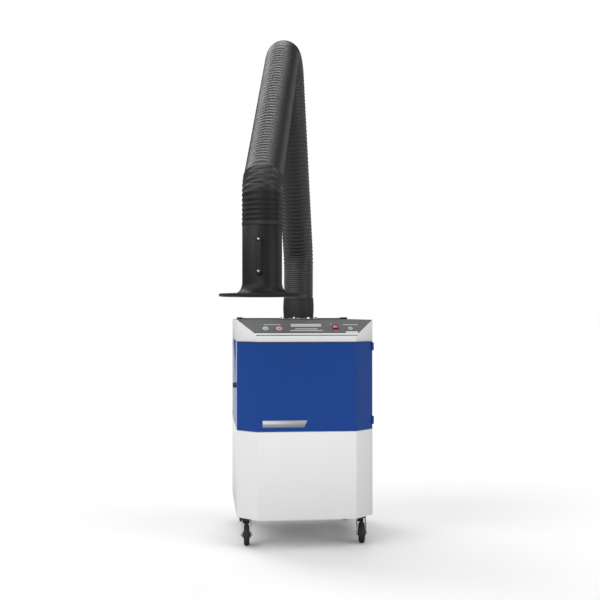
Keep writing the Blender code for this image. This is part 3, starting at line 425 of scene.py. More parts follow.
def on_bend(point, angle, radius, turn):
    """Where a bend ends."""
    centre = (point[0] + radius * math.cos(angle), point[1] - radius * math.sin(angle))
    return (centre[0] - radius * math.cos(angle + turn), centre[1] + radius * math.sin(angle + turn))


def arm_stretches():
    """The hose's middle line as (length, start point, start angle, bend radius or None)."""
    stretches = [(BEND_START - HOSE_START, (0.0, HOSE_START), 0.0, None)]
    point, angle = (0.0, BEND_START), 0.0
    for (radius, turn), straight in zip(BENDS, STRAIGHTS):
        stretches.append((radius * turn, point, angle, radius))
        point = on_bend(point, angle, radius, turn)
        angle += turn
        stretches.append((straight, point, angle, None))
        point = advance(point, angle, straight)
    return stretches


STRETCHES = arm_stretches()
STARTS = [sum(s[0] for s in STRETCHES[:i]) for i in range(len(STRETCHES) + 1)]


def along_hose(distance):
    """(reach, height, angle) at a distance along the middle line."""
    distance = min(max(distance, 0.0), STARTS[-1])
    i = max(k for k in range(len(STRETCHES)) if STARTS[k] <= distance)
    _, point, angle, radius = STRETCHES[i]
    run = distance - STARTS[i]
    if radius is None:
        return (*advance(point, angle, run), angle)
    return (*on_bend(point, angle, radius, run / radius), angle + run / radius)


def smooth_step(value, low, high):
    """0 below low, 1 above high, and an even change between them."""
    t = min(max((value - low) / (high - low), 0.0), 1.0)
    return t * t * (3 - 2 * t)


# The ribs from cuff to hood, as (distance along the hose, pitch, depth, how far the crests stand proud)
RIBS = (
    (STARTS[0], 0.0112, 0.0022, 0.0012),
    (STARTS[1] - 0.035, 0.0112, 0.0024, 0.0016),
    (STARTS[2] - 0.070, 0.0218, 0.0027, 0.0020),
    (STARTS[3] - 0.250, 0.0218, 0.0025, 0.0018),
    (STARTS[3] - 0.050, 0.0168, 0.0026, 0.0014),
    (STARTS[4] - 0.080, 0.0190, 0.0020, 0.0009),
    (STARTS[4], 0.0218, 0.0018, 0.0006),
    (STARTS[4] + 0.600, 0.0218, 0.0020, 0.0006),
    (STARTS[4] + 0.720, 0.0189, 0.0016, 0.0006),
    (STARTS[5] + 0.004, 0.0189, 0.0012, 0.0010),
    (STARTS[5] + 0.018, 0.0200, 0.0074, 0.0036),
    (STARTS[5] + 0.060, 0.0200, 0.0074, 0.0038),
    (STARTS[5] + 0.080, 0.0192, 0.0030, 0.0032),
    (STARTS[7], 0.0184, 0.0022, 0.0026),
)


def rib_at(distance):
    """(pitch, depth, crest height) of the ribs at a distance along the hose."""
    for before, after in zip(RIBS, RIBS[1:]):
        if distance <= after[0]:
            t = smooth_step(distance, before[0], after[0])
            return [a + (b - a) * t for a, b in zip(before[1:], after[1:])]
    return RIBS[-1][1:]


def rib_starts():
    """Distances at which the ribs start, stretched so that the last one ends with the hose."""
    starts, distance = [0.0], 0.0
    while distance < STARTS[-1]:
        distance += rib_at(distance)[0]
        starts.append(distance)
    stretch = STARTS[-1] / starts[-1]
    return [s * stretch for s in starts]


RIB_STARTS = rib_starts()


def hose_skin(name, first, last, body, replaces):
    """The ribs numbered first to last, as one shell with a smooth inner wall."""
    rows = []
    puckers = random.Random(7)
    phases = [puckers.uniform(0, 2 * math.pi) for _ in RIB_STARTS]
    for rib in range(first, last):
        start, end = RIB_STARTS[rib], RIB_STARTS[rib + 1]
        _, depth, crest = rib_at(start)
        # No two ribs are quite as deep as each other
        depth *= 0.93 + 0.14 * abs(math.sin(phases[rib]))
        for k in range(RIB_ROWS):
            u = k / RIB_ROWS
            sag = depth * math.sin(math.pi * u) ** 1.25 - crest
            rows.append((start + (end - start) * u, sag, phases[rib], u))
    rows.append((RIB_STARTS[last], -rib_at(RIB_STARTS[last])[2], 0.0, 0.0))

    bm = bmesh.new()
    unrolled = bm.loops.layers.uv.new("unrolled")
    outer, inner = [], []

    def ring(distance, radius_of):
        """One round of points across the hose."""
        reach, height, angle = along_hose(distance)
        centre = arm_point(reach, height)
        along = ARM_OUT * math.sin(angle) + Vector((0, 0, math.cos(angle)))
        back = ARM_SIDE.cross(along)
        made = []
        for k in range(HOSE_COLUMNS):
            turn = 2 * math.pi * k / HOSE_COLUMNS
            way = ARM_SIDE * math.cos(turn) + back * math.sin(turn)
            made.append(bm.verts.new(centre + way * radius_of(turn)))
        return made

    for distance, sag, phase, u in rows:
        def radius_of(turn, sag=sag, phase=phase, u=u):
            waves = math.sin(9 * turn + phase) * math.sin(4 * turn + 2 * phase)
            return HOSE_RADIUS - sag + PUCKER * math.sin(math.pi * u) * waves
        outer.append(ring(distance, radius_of))
    for rib in range(first, last + 1):
        inner.append(ring(RIB_STARTS[rib], lambda turn: HOSE_BORE))

    def skin(rings, distances):
        """Faces between rings, with their place on the unrolled cloth."""
        width = 2 * math.pi * HOSE_RADIUS / HOSE_COLUMNS
        for i in range(len(rings) - 1):
            for k in range(HOSE_COLUMNS):
                after = (k + 1) % HOSE_COLUMNS
                face = bm.faces.new((rings[i][k], rings[i][after], rings[i + 1][after], rings[i + 1][k]))
                corners = ((k, i), (k + 1, i), (k + 1, i + 1), (k, i + 1))
                for loop, (column, row) in zip(face.loops, corners):
                    loop[unrolled].uv = (column * width, distances[row])

    skin(outer, [row[0] for row in rows])
    skin(inner, [RIB_STARTS[rib] for rib in range(first, last + 1)])
    for i in (0, -1):
        for k in range(HOSE_COLUMNS):
            after = (k + 1) % HOSE_COLUMNS
            bm.faces.new((outer[i][k], outer[i][after], inner[i][after], inner[i][k]))
    bmesh.ops.recalc_face_normals(bm, faces=bm.faces)
    return piece(name, bm, "hose", body, replaces, sharp=60)


def make_hoses():
    """Three flexible stretches over the arm's joints, and the two that stay straight between them."""
    cuts = [
        0.0,
        STARTS[2] + HOSE_JOIN,
        STARTS[3] - HOSE_JOIN,
        STARTS[4] + HOSE_JOIN,
        STARTS[5] - HOSE_JOIN,
        STARTS[-1],
    ]
    ribs = [min(range(len(RIB_STARTS)), key=lambda i: abs(RIB_STARTS[i] - cut)) for cut in cuts]
    base = hose_skin("hose_base_skin", ribs[0], ribs[1], None, ("hose_base",))
    hose_skin("hose_lower_skin", ribs[1], ribs[2], "lower_arm", ("hose_lower",))
    elbow = hose_skin("hose_elbow_skin", ribs[2], ribs[3], None, ("hose_elbow",))
    hose_skin("hose_upper_skin", ribs[3], ribs[4], "upper_arm", ("hose_upper",))
    wrist = hose_skin("hose_wrist_skin", ribs[4], ribs[5], None, ("hose_wrist",))

    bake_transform(base)
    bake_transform(elbow)
    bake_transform(wrist)


# ---------------------------------------------------------------- arm foot


def make_arm_foot():
    """The bolted flange with its neck, and the clamped cuff at the foot of the hose."""
    axis = Matrix.Translation((SWIVEL.x, SWIVEL.y, ORIGIN.z))
    top = BODY_TOP + 0.0003
    flange, thick, neck, neck_bore, neck_top = 0.110, 0.004, 0.0748, 0.0733, 1.105
    ring = [(flange, top + thick), (flange, top), (neck, top), (neck, neck_top), (neck_bore, neck_top)]
    ring += [(neck_bore, top + thick)]
    bm = bmesh.new()
    add_lathe(bm, softened(ring, 0.0010), axis, 112)
    piece("flange_ring", bm, "dark_paint", "cabinet", ("arm_flange",))

    bolts, bolt_circle, first_bolt = 8, 0.100, math.radians(-109)
    bm = bmesh.new()
    for i in range(bolts):
        turn = first_bolt + 2 * math.pi * i / bolts
        place = axis @ Matrix.Rotation(turn, 4, "Z") @ Matrix.Translation((bolt_circle, 0, top + thick))
        add_bolt(bm, place, 0.0135, 0.0066, 0.0100)
    piece("flange_bolts", bm, "bright_steel", "cabinet")

    low, high = (corner.z - ORIGIN.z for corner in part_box("base_cuff"))
    span = high - low
    end_radius, swell, bore, steps = 0.0808, 0.0030, 0.0776, 16
    cuff = [
        (end_radius + swell * math.sin(math.pi * i / steps), low + span * i / steps) for i in range(steps + 1)
    ]
    cuff += [(0.0788, high + 0.0022), (bore, high + 0.0012), (bore, low)]
    bm = bmesh.new()
    add_lathe(bm, cuff, axis, 112)
    for height in (low + span * 0.08, low + span * 0.93):
        lip = [(0.0826, height + 0.0016), (0.0834, height), (0.0826, height - 0.0016), (0.0806, height)]
        add_lathe(bm, lip, axis, 112)
    piece("cuff_skin", bm, "rubber", "arm_base", ("base_cuff",))


# ---------------------------------------------------------------- hood


def make_hood():
    """The duct with its flare, rolled brim and mouth, the bow handle, and the band under the hose."""
    axis = Matrix.Translation((HOOD_AXIS.x, HOOD_AXIS.y, ORIGIN.z))
    flare_top, flare_out = 1.318, 0.1094
    outer = [(DUCT_RADIUS - 0.0012, HOOD_TOP), (DUCT_RADIUS, HOOD_TOP - 0.0016), (DUCT_RADIUS, flare_top)]
    for i in range(1, 15):
        turn = math.radians(90) * i / 14
        outer.append((
            flare_out - (flare_out - DUCT_RADIUS) * math.cos(turn),
            flare_top - (flare_top - BRIM_TOP - 0.0010) * math.sin(turn),
        ))
    brim = [(flare_out + 0.008, BRIM_TOP), (BRIM_RADIUS - 0.010, BRIM_TOP - 0.0005)]
    for i in range(9):
        turn = math.radians(80 - 20 * i)
        brim.append((
            BRIM_RADIUS - 0.0060 + 0.0060 * max(0.0, math.cos(turn)),
            (BRIM_TOP + BRIM_BOTTOM) / 2 + 0.0062 * math.sin(turn),
        ))
    mouth = [(BRIM_RADIUS - 0.011, BRIM_BOTTOM + 0.0001), (BRIM_RADIUS - 0.013, BRIM_BOTTOM + 0.0022)]
    mouth += [(DUCT_BORE + 0.016, BRIM_BOTTOM + 0.0030), (DUCT_BORE + 0.014, BRIM_BOTTOM + 0.0004)]
    mouth += [(DUCT_BORE + 0.008, BRIM_BOTTOM), (DUCT_BORE + 0.0025, BRIM_BOTTOM + 0.0030)]
    collar_low, collar_high, collar_bore = 1.530, 1.535, 0.0727
    inner = [(DUCT_BORE, BRIM_BOTTOM + 0.0100), (DUCT_BORE, collar_low), (collar_bore, collar_low)]
    inner += [(collar_bore, collar_high), (DUCT_BORE, collar_high), (DUCT_BORE, HOOD_TOP)]
    bm = bmesh.new()
    add_lathe(bm, [*outer, *brim, *mouth, *inner], axis, 144)
    piece("hood_shell", bm, "black_plastic", "hood", ("hood",))

    # The bow handle, on the side that the arm points to
    place = axis @ Matrix((-ARM_SIDE, ARM_OUT, Vector((0, 0, 1)))).transposed().to_4x4()
    grip_half, grip_out, grip_thick = 0.0118, 0.1120, 0.0105
    rounded = []
    for height, first in zip(GRIP_SCREWS, (180, 0)):
        for k in range(9):
            a = math.radians(first) + math.pi * k / 8
            rounded.append((grip_half * math.cos(a), height + grip_half * math.sin(a)))
    bm = bmesh.new()
    standing = Matrix.Translation((0, grip_out, 0)) @ UPRIGHT
    add_prism(bm, rounded, grip_thick, place @ standing, soft=0.0022)
    for height in GRIP_SCREWS:
        post = Matrix.Translation((0, 0, height)) @ ALONG_Y
        boss = [(0.0055, 0.1098), (0.0060, 0.1123), (0.0105, 0.1124), (0.0132, 0.1105), (0.0134, 0.0990)]
        boss += [(0.0118, 0.0860), (0.0134, 0.0802), (0.0055, 0.0802)]
        add_lathe(bm, boss, place @ post, 40)
    piece("hood_grip", bm, "black_plastic", "hood", ("hood_handle",))
    bm = bmesh.new()
    for height in GRIP_SCREWS:
        post = Matrix.Translation((0, grip_out - 0.0001, height)) @ ALONG_Y
        add_screw(bm, place @ post, 0.0052, 0.0026)
    piece("grip_screws", bm, "zinc", "hood")

    low, high = HOOD_TOP - 0.0040, HOOD_TOP + 0.0100
    band = [(0.0800, low), (0.0812, low), (0.0816, (low + high) / 2), (0.0812, high), (0.0800, high)]
    bm = bmesh.new()
    add_lathe(bm, softened(band, 0.0004), axis, 144)
    piece("hose_band", bm, "rubber", "wrist")


# ---------------------------------------------------------------- console


def add_plate_line(bm, x, up, width, height, lift=MARK_LIFT):
    """A thin bar on the console, given by its middle."""
    low = (x - width / 2, up - height / 2, PANEL_FACE)
    high = (x + width / 2, up + height / 2, PANEL_FACE + lift)
    add_box(bm, low, high, SLOPE, soft=0)


def make_lamp(name, x, bezel):
    """A domed lens in its ring."""
    place = SLOPE @ Matrix.Translation((x, LAMP_UP, PANEL_FACE + 0.0003))
    lens = bezel * 0.50
    ring = [(bezel, 0.0), (bezel, 0.0006), (bezel - 0.0022, 0.0016)]
    ring += [(lens + 0.0008, 0.0018), (lens, 0.0014), (lens, 0.0)]
    stem = [(0.0056, 0.0004), (0.0056, -0.0130), (0.0, -0.0130), (0.0, 0.0004)]
    bm = bmesh.new()
    add_lathe(bm, softened(ring, 0.0006), place, 56)
    add_lathe(bm, stem, place, 32)
    piece(name + "_bezel", bm, "label", "cabinet", look="bezel")

    turns = [math.radians(d) for d in range(10, 91, 10)]
    dome = [(lens * math.sin(a), 0.0012 + 0.0030 * math.cos(a)) for a in turns]
    bm = bmesh.new()
    add_lathe(bm, [(0.0, 0.0042), *dome, (lens, 0.0006), (0.0, 0.0006)], place, 48)
    colour = "red_lens" if name == "lamp_fault" else "green_lens"
    piece(name + "_lens", bm, colour, "cabinet", (name,))


def make_console():
    """Lamps, plain bars where the console is printed, nameplate, sticker, a dark strip that paints the shade in
    the seam's gap, top film and screws.
    """
    for name, (x, bezel) in LAMPS.items():
        make_lamp(name, x, bezel)

    bm = bmesh.new()
    for x, up, width, height in (
        (-0.172, 0.089, 0.086, 0.0052),
        (0.228, 0.088, 0.078, 0.0052),
        (0.149, 0.040, 0.022, 0.0030),
        (0.128, 0.091, 0.010, 0.0040),
    ):
        add_plate_line(bm, x, up, width, height)
    piece("console_marks", bm, "label", "cabinet", look="print")

    bm = bmesh.new()
    add_box(bm, (-0.078, 0.070, PANEL_FACE), (0.078, 0.094, PANEL_FACE + 0.0011), SLOPE, soft=0.0004)
    for up, width in ((0.054, 0.116), (0.040, 0.166)):
        add_plate_line(bm, 0.0, up, width, 0.0075, 0.0004)
    piece("console_nameplate", bm, "label", "cabinet", look="print")

    bm = bmesh.new()
    add_box(bm, (0.2000, 0.0225, PANEL_FACE), (0.2620, 0.0315, PANEL_FACE + 0.00015), SLOPE, soft=0)
    piece("console_sticker", bm, "label", "cabinet")

    # A dark rubber strip at the slope's foot: painted shade in the gap of the seam
    bm = bmesh.new()
    half = HALF - CHAMFER[0] + 0.007
    add_box(bm, (-half, 0.0012, 0.0001), (half, 0.0082, 0.0005), SLOPE, soft=0.0001)
    piece("seam_shade_strip", bm, "rubber", "cabinet")

    bm = bmesh.new()
    inset, lift = 0.0035, 0.00025
    plan = [(-HALF + inset, CHAMFER[1]), (-HALF + inset, DEPTH - inset), (HALF - inset, DEPTH - inset)]
    plan += [(HALF - inset, CHAMFER[1])]
    add_prism(bm, plan, lift, Matrix.Translation(ORIGIN + Vector((0, 0, BODY_TOP))))
    piece("top_film", bm, "panel_grey", "cabinet")

    bm = bmesh.new()
    for x, up in ((-0.262, 0.030), (0.268, 0.030), (-0.333, 0.122), (0.333, 0.122), (0.0, 0.124)):
        add_screw(bm, SLOPE @ Matrix.Translation((x, up, PANEL_FACE)), 0.0032, 0.0014)
    piece("console_screws", bm, "dark_paint", "cabinet")


# ---------------------------------------------------------------- cabinet furniture


def make_rating_plate():
    """A blank rating plate, low on the front."""
    bm = bmesh.new()
    place = Matrix.Translation(at(0, -0.0001, 0)) @ UPRIGHT
    add_prism(bm, [(0.133, 0.180), (0.230, 0.180), (0.230, 0.242), (0.133, 0.242)], 0.00025, place)
    piece("rating_plate", bm, "label", "cabinet")


def make_door_details():
    """The latch with its cam, a dark rubber strip along the door's top edge that paints the shade there, and the
    caps of the hinge pins.
    """
    place = facing(JOINTS["latch_turn"]["pos_m"], (-1, 0, 0))
    bm = bmesh.new()
    rose = [(0, 0.0060), (0.0125, 0.0060), (0.0150, 0.0042), (0.0150, 0.0), (0, 0.0)]
    add_lathe(bm, softened(rose, 0.0008), place, 48)
    add_box(bm, (-0.0034, -0.0125, 0.0050), (0.0034, 0.0125, 0.0158), place, soft=0.0014, segments=3)
    cam_low, cam_high = (-0.0060, -0.0400, -0.0080), (0.0060, 0.0060, -0.0050)
    add_box(bm, cam_low, cam_high, place @ QUARTER_TURN, soft=0.0006)
    add_lathe(bm, [(0.0060, 0.0010), (0.0060, -0.0150), (0, -0.0150), (0, 0.0010)], place, 28)
    piece("latch_knob", bm, "dark_paint", "latch", ("door_latch",))

    # The dark strip is painted shade along the door's top edge; it runs round the front and both chamfers
    plan = []
    for out in (0.0003, -0.0012):
        side, front = HALF + out, HALF - CHAMFER[0] + out / 2
        line = [(-side, CHAMFER[1]), (-front, -out), (front, -out), (side, CHAMFER[1])]
        plan += line if out > 0 else line[::-1]
    bm = bmesh.new()
    add_prism(bm, plan, 0.0030, Matrix.Translation(at(0, 0, DOOR_TOP - 0.0032)))
    piece("door_shade_strip", bm, "rubber", "door")

    pin = JOINTS["door_hinge"]["pos_m"]
    cap = [(0, 0.0016), (0.0040, 0.0013), (0.0058, 0.0), (0, 0.0)]
    bm = bmesh.new()
    for name in ("hinge_lower", "hinge_upper"):
        foot = Matrix.Translation((pin[0], pin[1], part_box(name)[0].z))
        add_lathe(bm, cap, foot @ UPSIDE_DOWN, 24)
    piece("hinge_caps", bm, "blue_paint", "cabinet")


def make_rear():
    """The outlet's frame and louvres, the screws of the rear panel, and the cable gland."""
    low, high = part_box("outlet_grille")
    rim, frame_thick, count = 0.020, 0.0030, 11
    bm = bmesh.new()
    for x0, x1, z0, z1 in (
        (low.x, high.x, high.z - rim, high.z),
        (low.x, high.x, low.z, low.z + rim),
        (low.x, low.x + rim, low.z + rim, high.z - rim),
        (high.x - rim, high.x, low.z + rim, high.z - rim),
    ):
        add_box(bm, (x0, low.y, z0), (x1, low.y + frame_thick, z1), soft=0.0007)
    pitch = (high.z - low.z - 2 * rim) / count
    half = (high.x - low.x) / 2 - rim + 0.0008
    lean = Matrix.Rotation(math.radians(-32), 4, "X")
    for i in range(count):
        z = low.z + rim + pitch * (i + 0.5)
        tilt = Matrix.Translation(((low.x + high.x) / 2, low.y + 0.0012, z)) @ lean
        add_box(bm, (-half, -0.0068, -0.0009), (half, 0.0068, 0.0009), tilt, soft=0.0006)
    piece("outlet_louvres", bm, "dark_paint", "cabinet", ("outlet_grille",))

    bm = bmesh.new()
    for x in (low.x + rim / 2, high.x - rim / 2):
        for z in (low.z + rim / 2, high.z - rim / 2):
            add_screw(bm, facing((x, low.y + frame_thick, z), (0, 1, 0)), 0.0040, 0.0022)
    edge = HALF - 0.012
    places = [(x, z) for x in (-edge, -0.118, 0.118, edge) for z in (BODY_BOTTOM + 0.014, BODY_TOP - 0.018)]
    places += [(x, z) for x in (-edge, edge) for z in (0.380, 0.620, 0.860)]
    for x, z in places:
        add_screw(bm, facing(at(x, DEPTH, z), (0, 1, 0)), 0.0042, 0.0024)
    piece("rear_screws", bm, "bright_steel", "cabinet")

    low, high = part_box("cable_gland")
    place = facing(((low.x + high.x) / 2, at(0, DEPTH, 0).y, (low.z + high.z) / 2), (0, 1, 0))
    bm = bmesh.new()
    part = bmesh.new()
    nut = Matrix.Translation((0, 0, 0.0062))
    bmesh.ops.create_cone(
        part, cap_ends=True, segments=6, radius1=0.0165, radius2=0.0165, depth=0.0118, matrix=nut
    )
    bmesh.ops.bevel(part, geom=part.edges[:], offset=0.0010, segments=2, affect="EDGES", profile=0.5)
    merge(bm, part, place)
    cone = [(0.0050, 0.0262), (0.0072, 0.0262), (0.0112, 0.0200), (0.0142, 0.0122), (0.0142, 0.0110)]
    cone += [(0.0050, 0.0110)]
    add_lathe(bm, softened(cone, 0.0010), place, 36)
    piece("gland_body", bm, "black_plastic", "cabinet", ("cable_gland",))


def make_push_handle():
    """The ribbed grip of the push handle, and the screws under its brackets."""
    low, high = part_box("handle_bar")
    radius, length, steps = (high.z - low.z) / 2, high.x - low.x, 60
    place = Matrix.Translation((low.x, (low.y + high.y) / 2, (low.z + high.z) / 2)) @ ALONG_X
    outer = [(radius, length * i / steps) for i in range(steps + 1)]
    for i in range(4, steps - 3):
        outer[i] = (radius - (0.0007 if i % 2 else 0.0), outer[i][1])
    bm = bmesh.new()
    add_lathe(bm, [(0, 0), *outer, (0, length)], place, 40)
    piece("handle_grip", bm, "black_plastic", "cabinet", ("handle_bar",))

    bm = bmesh.new()
    for name in ("handle_bracket_left", "handle_bracket_right"):
        low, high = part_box(name)
        under = ((low.x + high.x) / 2, at(0, DEPTH, 0).y + 0.0090, low.z - 0.0001)
        add_screw(bm, facing(under, (0, 0, -1), (0, 1, 0)), 0.0035, 0.0016)
    piece("bracket_screws", bm, "bright_steel", "cabinet")


def make_side_screws():
    """The screws of the side walls and of the blue covers."""
    bm = bmesh.new()
    for side in (-1, 1):
        for y in (0.160, 0.440, 0.720):
            for z in (BODY_BOTTOM + 0.020, CASING_TOP - 0.018):
                add_screw(bm, facing(at(side * HALF, y, z), (side, 0, 0)), 0.0040, 0.0018)
    piece("casing_screws", bm, "white_paint", "cabinet")
    bm = bmesh.new()
    for y in (0.330, 0.770):
        for z in (DOOR_BOTTOM + 0.030, DOOR_TOP - 0.030):
            add_screw(bm, facing(at(-HALF, y, z), (-1, 0, 0)), 0.0040, 0.0018)
            add_screw(bm, facing(at(HALF, y, z), (1, 0, 0)), 0.0040, 0.0018)
    piece("cover_screws", bm, "blue_paint", "cabinet")


# ---------------------------------------------------------------- casters


def make_caster_plate(corner, place, top):
    """The mounting plate with its race and four bolts."""
    long, wide, thick = 0.050, 0.0425, 0.0030
    race = [(0, top - 0.0020), (0.0275, top - 0.0020), (0.0280, top - 0.0090), (0.0225, top - 0.0142)]
    race += [(0, top - 0.0142)]
    bm = bmesh.new()
    add_box(bm, (-long, -wide, top - thick), (long, wide, top), place, soft=0.0008)
    add_lathe(bm, softened(race, 0.0012), place, 48)
    piece("plate_" + corner, bm, "zinc", "cabinet", ("caster_plate_" + corner,))
    bm = bmesh.new()
    for x in (-0.0385, 0.0385):
        for y in (-0.0310, 0.0310):
            down = Matrix.Translation((x, y, top - thick)) @ UPSIDE_DOWN
            add_bolt(bm, place @ down, 0.0100, 0.0048, 0.0078)
    piece("plate_bolts_" + corner, bm, "bright_steel", "cabinet")


def make_caster_fork(corner, place, back, rise, head):
    """The crown under the race, the two legs, and the axle and kingpin bolts, with a dark web between the legs
    that paints the shade above the wheel.

    back is how far the axle stands behind the swivel, rise how high, and head where the crown starts."""
    crown = [(0, head), (0.0150, head), (0.0265, head - 0.0030), (0.0270, head - 0.0070)]
    crown += [(0.0255, head - 0.0098), (0, head - 0.0098)]
    bm = bmesh.new()
    add_lathe(bm, softened(crown, 0.0010), place, 48)
    bridge_low, bridge_high = (-0.0240, -0.0280, head - 0.0104), (0.0240, 0.0190, head - 0.0064)
    add_box(bm, bridge_low, bridge_high, place, soft=0.0012)
    # Dark web between the legs: painted shade inside the fork above the wheel; the crown's dark paint adds to that
    # painted shade
    shade_web_low, shade_web_high = (-0.0160, 0.0145, 0.0980), (0.0160, 0.0180, head - 0.0100)
    add_box(bm, shade_web_low, shade_web_high, place, soft=0.0010)
    piece("crown_and_shade_web_" + corner, bm, "dark_paint", "caster_" + corner)

    leg_end = 0.0135
    side = [(0.0190, head - 0.0064), (0.0175, head - 0.0190), (-0.0130, rise + 0.0170)]
    for degrees in range(20, -191, -15):
        a = math.radians(degrees)
        side.append((back + leg_end * math.cos(a), rise + leg_end * math.sin(a)))
    side += [(back - 0.0060, rise + 0.0350), (-0.0280, head - 0.0180), (-0.0280, head - 0.0064)]
    sideways = QUARTER_TURN @ UPRIGHT
    bm = bmesh.new()
    for x in (-0.0240, 0.0212):
        leg = place @ Matrix.Translation((x, 0, 0)) @ sideways
        add_prism(bm, softened(side, 0.004), 0.0028, leg, soft=0.0008)
    piece("fork_" + corner, bm, "zinc", "caster_" + corner, ("caster_fork_" + corner,))

    bm = bmesh.new()
    for sign in (-1, 1):
        out = facing((sign * 0.0240, back, rise), (sign, 0, 0))
        add_bolt(bm, place @ out, 0.0115, 0.0036, 0.0078)
    kingpin = Matrix.Translation((0, 0, head - 0.0104)) @ UPSIDE_DOWN
    add_bolt(bm, place @ kingpin, 0.0120, 0.0050, 0.0080)
    shaft = Matrix.Translation((-0.0235, back, rise)) @ ALONG_X
    add_lathe(bm, [(0.0049, 0.047), (0.0049, 0), (0, 0), (0, 0.047)], place @ shaft, 24)
    piece("axle_" + corner, bm, "bright_steel", "caster_" + corner)


def make_caster_wheel(corner, place, radius):
    """The tyre, and the hub with its spokes."""
    half = 0.014
    shoulder = [(radius - 0.0150, half - 0.0005), (radius - 0.0070, half), (radius - 0.0024, half - 0.0030)]
    tread = []
    for i in range(9):
        across = (1 - i / 4) * (half - 0.0062)
        tread.append((radius - 0.0014 * (across / half) ** 2, across))
    other = [(r, -y) for r, y in reversed(shoulder)]
    seat = [(radius - 0.0168, -half + 0.0050), (radius - 0.0168, half - 0.0050)]
    bm = bmesh.new()
    add_lathe(bm, softened([*shoulder, *tread, *other, *seat], 0.0010, 2), place, 96)
    piece("tyre_" + corner, bm, "tyre", "wheel_" + corner, ("caster_wheel_" + corner,))

    rim = radius - 0.0195
    hub = [(radius - 0.0168, 0.0098), (rim + 0.0010, 0.0090), (rim, 0.0046), (0.0180, 0.0046)]
    hub += [(0.0165, 0.0120), (0.0125, 0.0200), (0.0056, 0.0200)]
    hub += [(r, -y) for r, y in reversed(hub)]
    bm = bmesh.new()
    add_lathe(bm, softened(hub, 0.0012), place, 72)
    for i in range(6):
        spoke = Matrix.Rotation(math.radians(60 * i), 4, "Z")
        for level in (-1, 1):
            low, high = sorted((level * 0.0040, level * 0.0085))
            add_box(bm, (0.0165, -0.0022, low), (rim + 0.0006, 0.0022, high), place @ spoke, soft=0.0009)
    piece("hub_" + corner, bm, "dark_paint", "wheel_" + corner)


def make_caster(corner):
    """One caster, with its fork and wheel at the angle that it has at rest."""
    centre = Vector((*JOINTS["swivel_" + corner]["pos_m"][:2], 0))
    axle = Vector(JOINTS["roll_" + corner]["pos_m"])
    across = Vector(JOINTS["roll_" + corner]["axis"])
    turned = Matrix.Rotation(math.atan2(across.y, across.x), 4, "Z")
    fixed = Matrix.Translation(centre)
    trail = axle - centre
    top = PAN_LOW.z - 0.0003
    make_caster_plate(corner, fixed, top)
    make_caster_fork(corner, fixed @ turned, -math.hypot(trail.x, trail.y), axle.z, top - 0.0145)
    make_caster_wheel(corner, Matrix.Translation(axle) @ turned @ ALONG_X, axle.z)


# ---------------------------------------------------------------- studio


def make_camera():
    camera = bpy.data.objects.new("camera", bpy.data.cameras.new("camera"))
    camera.data.lens = 60.19
    camera.data.sensor_width = 36.0
    camera.data.clip_end = 200
    camera.location = at(-0.5337, -5.0226, 1.188)
    camera.rotation_euler = (math.radians(90.84), 0, math.radians(-5.65))
    bpy.context.scene.collection.objects.link(camera)
    bpy.context.scene.camera = camera


# Each sun's azimuth and elevation in degrees, its strength, and how many degrees wide it is
SUNS = {
    "front_fill": (-14, 12, 1.04, 34),
    "back_top": (180, 64, 1.05, 34),
    "back_left": (-144, 38, 0.92, 32),
    "left": (-92, 30, 0.48, 44),
    "front_left": (-54, 32, 1.26, 40),
    "right_top": (60, 64, 0.76, 36),
    "right": (58, 14, 0.82, 34),
    "right_rim": (122, 12, 0.26, 34),
}


def make_sun(name, azimuth, elevation, strength, softness):
    sun = bpy.data.lights.new(name, "SUN")
    sun.energy = strength
    sun.angle = math.radians(softness)
    obj = bpy.data.objects.new(name, sun)
    a, e = math.radians(azimuth), math.radians(elevation)
    back = Vector((math.sin(a) * math.cos(e), -math.cos(a) * math.cos(e), math.sin(e)))
    obj.rotation_euler = back.to_track_quat("Z", "Y").to_euler()
    bpy.context.scene.collection.objects.link(obj)


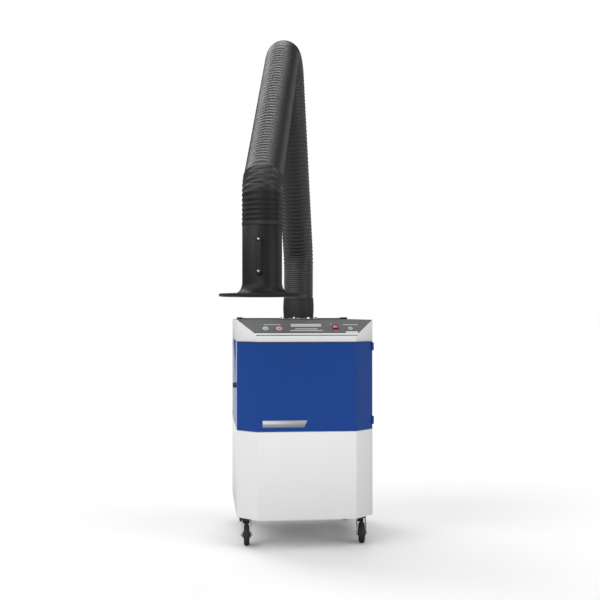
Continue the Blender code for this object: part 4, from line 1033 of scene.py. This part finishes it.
def backdrop():
    """The white floor: it sends less light back up to the machine than it shows to the camera.

    Its part behind the machine mirrors brightly in the gloss of the sides."""
    material = bpy.data.materials.new("backdrop")
    material.use_nodes = True
    tree = material.node_tree
    tree.nodes.clear()
    out = tree.nodes.new("ShaderNodeOutputMaterial")
    shown = node(tree, "ShaderNodeBsdfDiffuse", Color=(0.90, 0.90, 0.90, 1))
    passed_on = node(tree, "ShaderNodeBsdfDiffuse", Color=(0.40, 0.40, 0.40, 1))
    ray = tree.nodes.new("ShaderNodeLightPath")
    place = tree.nodes.new("ShaderNodeTexCoord")
    axes = tree.nodes.new("ShaderNodeSeparateXYZ")
    tree.links.new(place.outputs["Object"], axes.inputs[0])
    behind = node(tree, "ShaderNodeMapRange", From_Min=1.2, From_Max=3.0)
    straight = node(tree, "ShaderNodeMapRange", From_Min=6.0, From_Max=3.0)
    aside, region, mirrored, bright = (tree.nodes.new("ShaderNodeMath") for _ in range(4))
    aside.operation = "ABSOLUTE"
    region.operation = mirrored.operation = "MULTIPLY"
    bright.operation = "MAXIMUM"
    tree.links.new(axes.outputs["X"], aside.inputs[0])
    tree.links.new(aside.outputs["Value"], straight.inputs["Value"])
    tree.links.new(axes.outputs["Y"], behind.inputs["Value"])
    tree.links.new(behind.outputs["Result"], region.inputs[0])
    tree.links.new(straight.outputs["Result"], region.inputs[1])
    tree.links.new(region.outputs["Value"], mirrored.inputs[0])
    tree.links.new(ray.outputs["Is Glossy Ray"], mirrored.inputs[1])
    tree.links.new(mirrored.outputs["Value"], bright.inputs[0])
    tree.links.new(ray.outputs["Is Camera Ray"], bright.inputs[1])
    both = tree.nodes.new("ShaderNodeMixShader")
    tree.links.new(bright.outputs["Value"], both.inputs[0])
    tree.links.new(passed_on.outputs[0], both.inputs[1])
    tree.links.new(shown.outputs[0], both.inputs[2])
    tree.links.new(both.outputs[0], out.inputs["Surface"])
    return material


def make_studio():
    """The floor, the white surroundings and the suns."""
    reach = 80
    corners = [(-reach, -reach, 0), (reach, -reach, 0), (reach, reach, 0), (-reach, reach, 0)]
    floor_mesh = bpy.data.meshes.new("floor")
    floor_mesh.from_pydata(corners, [], [(0, 1, 2, 3)])
    floor = bpy.data.objects.new("floor", floor_mesh)
    floor_mesh.materials.append(backdrop())
    bpy.context.scene.collection.objects.link(floor)

    world = bpy.data.worlds.new("studio")
    bpy.context.scene.world = world
    world.use_nodes = True
    tree = world.node_tree
    tree.nodes.clear()
    out = tree.nodes.new("ShaderNodeOutputWorld")
    seen = node(tree, "ShaderNodeBackground", Color=(1, 1, 1, 1), Strength=1.0)
    unlit = node(tree, "ShaderNodeBackground", Color=(1, 1, 1, 1), Strength=0.02)
    ray = tree.nodes.new("ShaderNodeLightPath")
    both = tree.nodes.new("ShaderNodeMixShader")
    tree.links.new(ray.outputs["Is Camera Ray"], both.inputs[0])
    tree.links.new(unlit.outputs[0], both.inputs[1])
    tree.links.new(seen.outputs[0], both.inputs[2])
    tree.links.new(both.outputs[0], out.inputs["Surface"])

    for name, values in SUNS.items():
        make_sun(name, *values)
    bpy.context.scene.view_settings.view_transform = "Standard"


def make_machine():
    dress_cad_nodes()
    make_hoses()
    make_arm_foot()
    make_hood()
    make_console()
    make_rating_plate()
    make_door_details()
    make_rear()
    make_push_handle()
    make_side_screws()
    for corner in ("front_left", "front_right", "rear_left", "rear_right"):
        make_caster(corner)


make_camera()
make_machine()
make_studio()
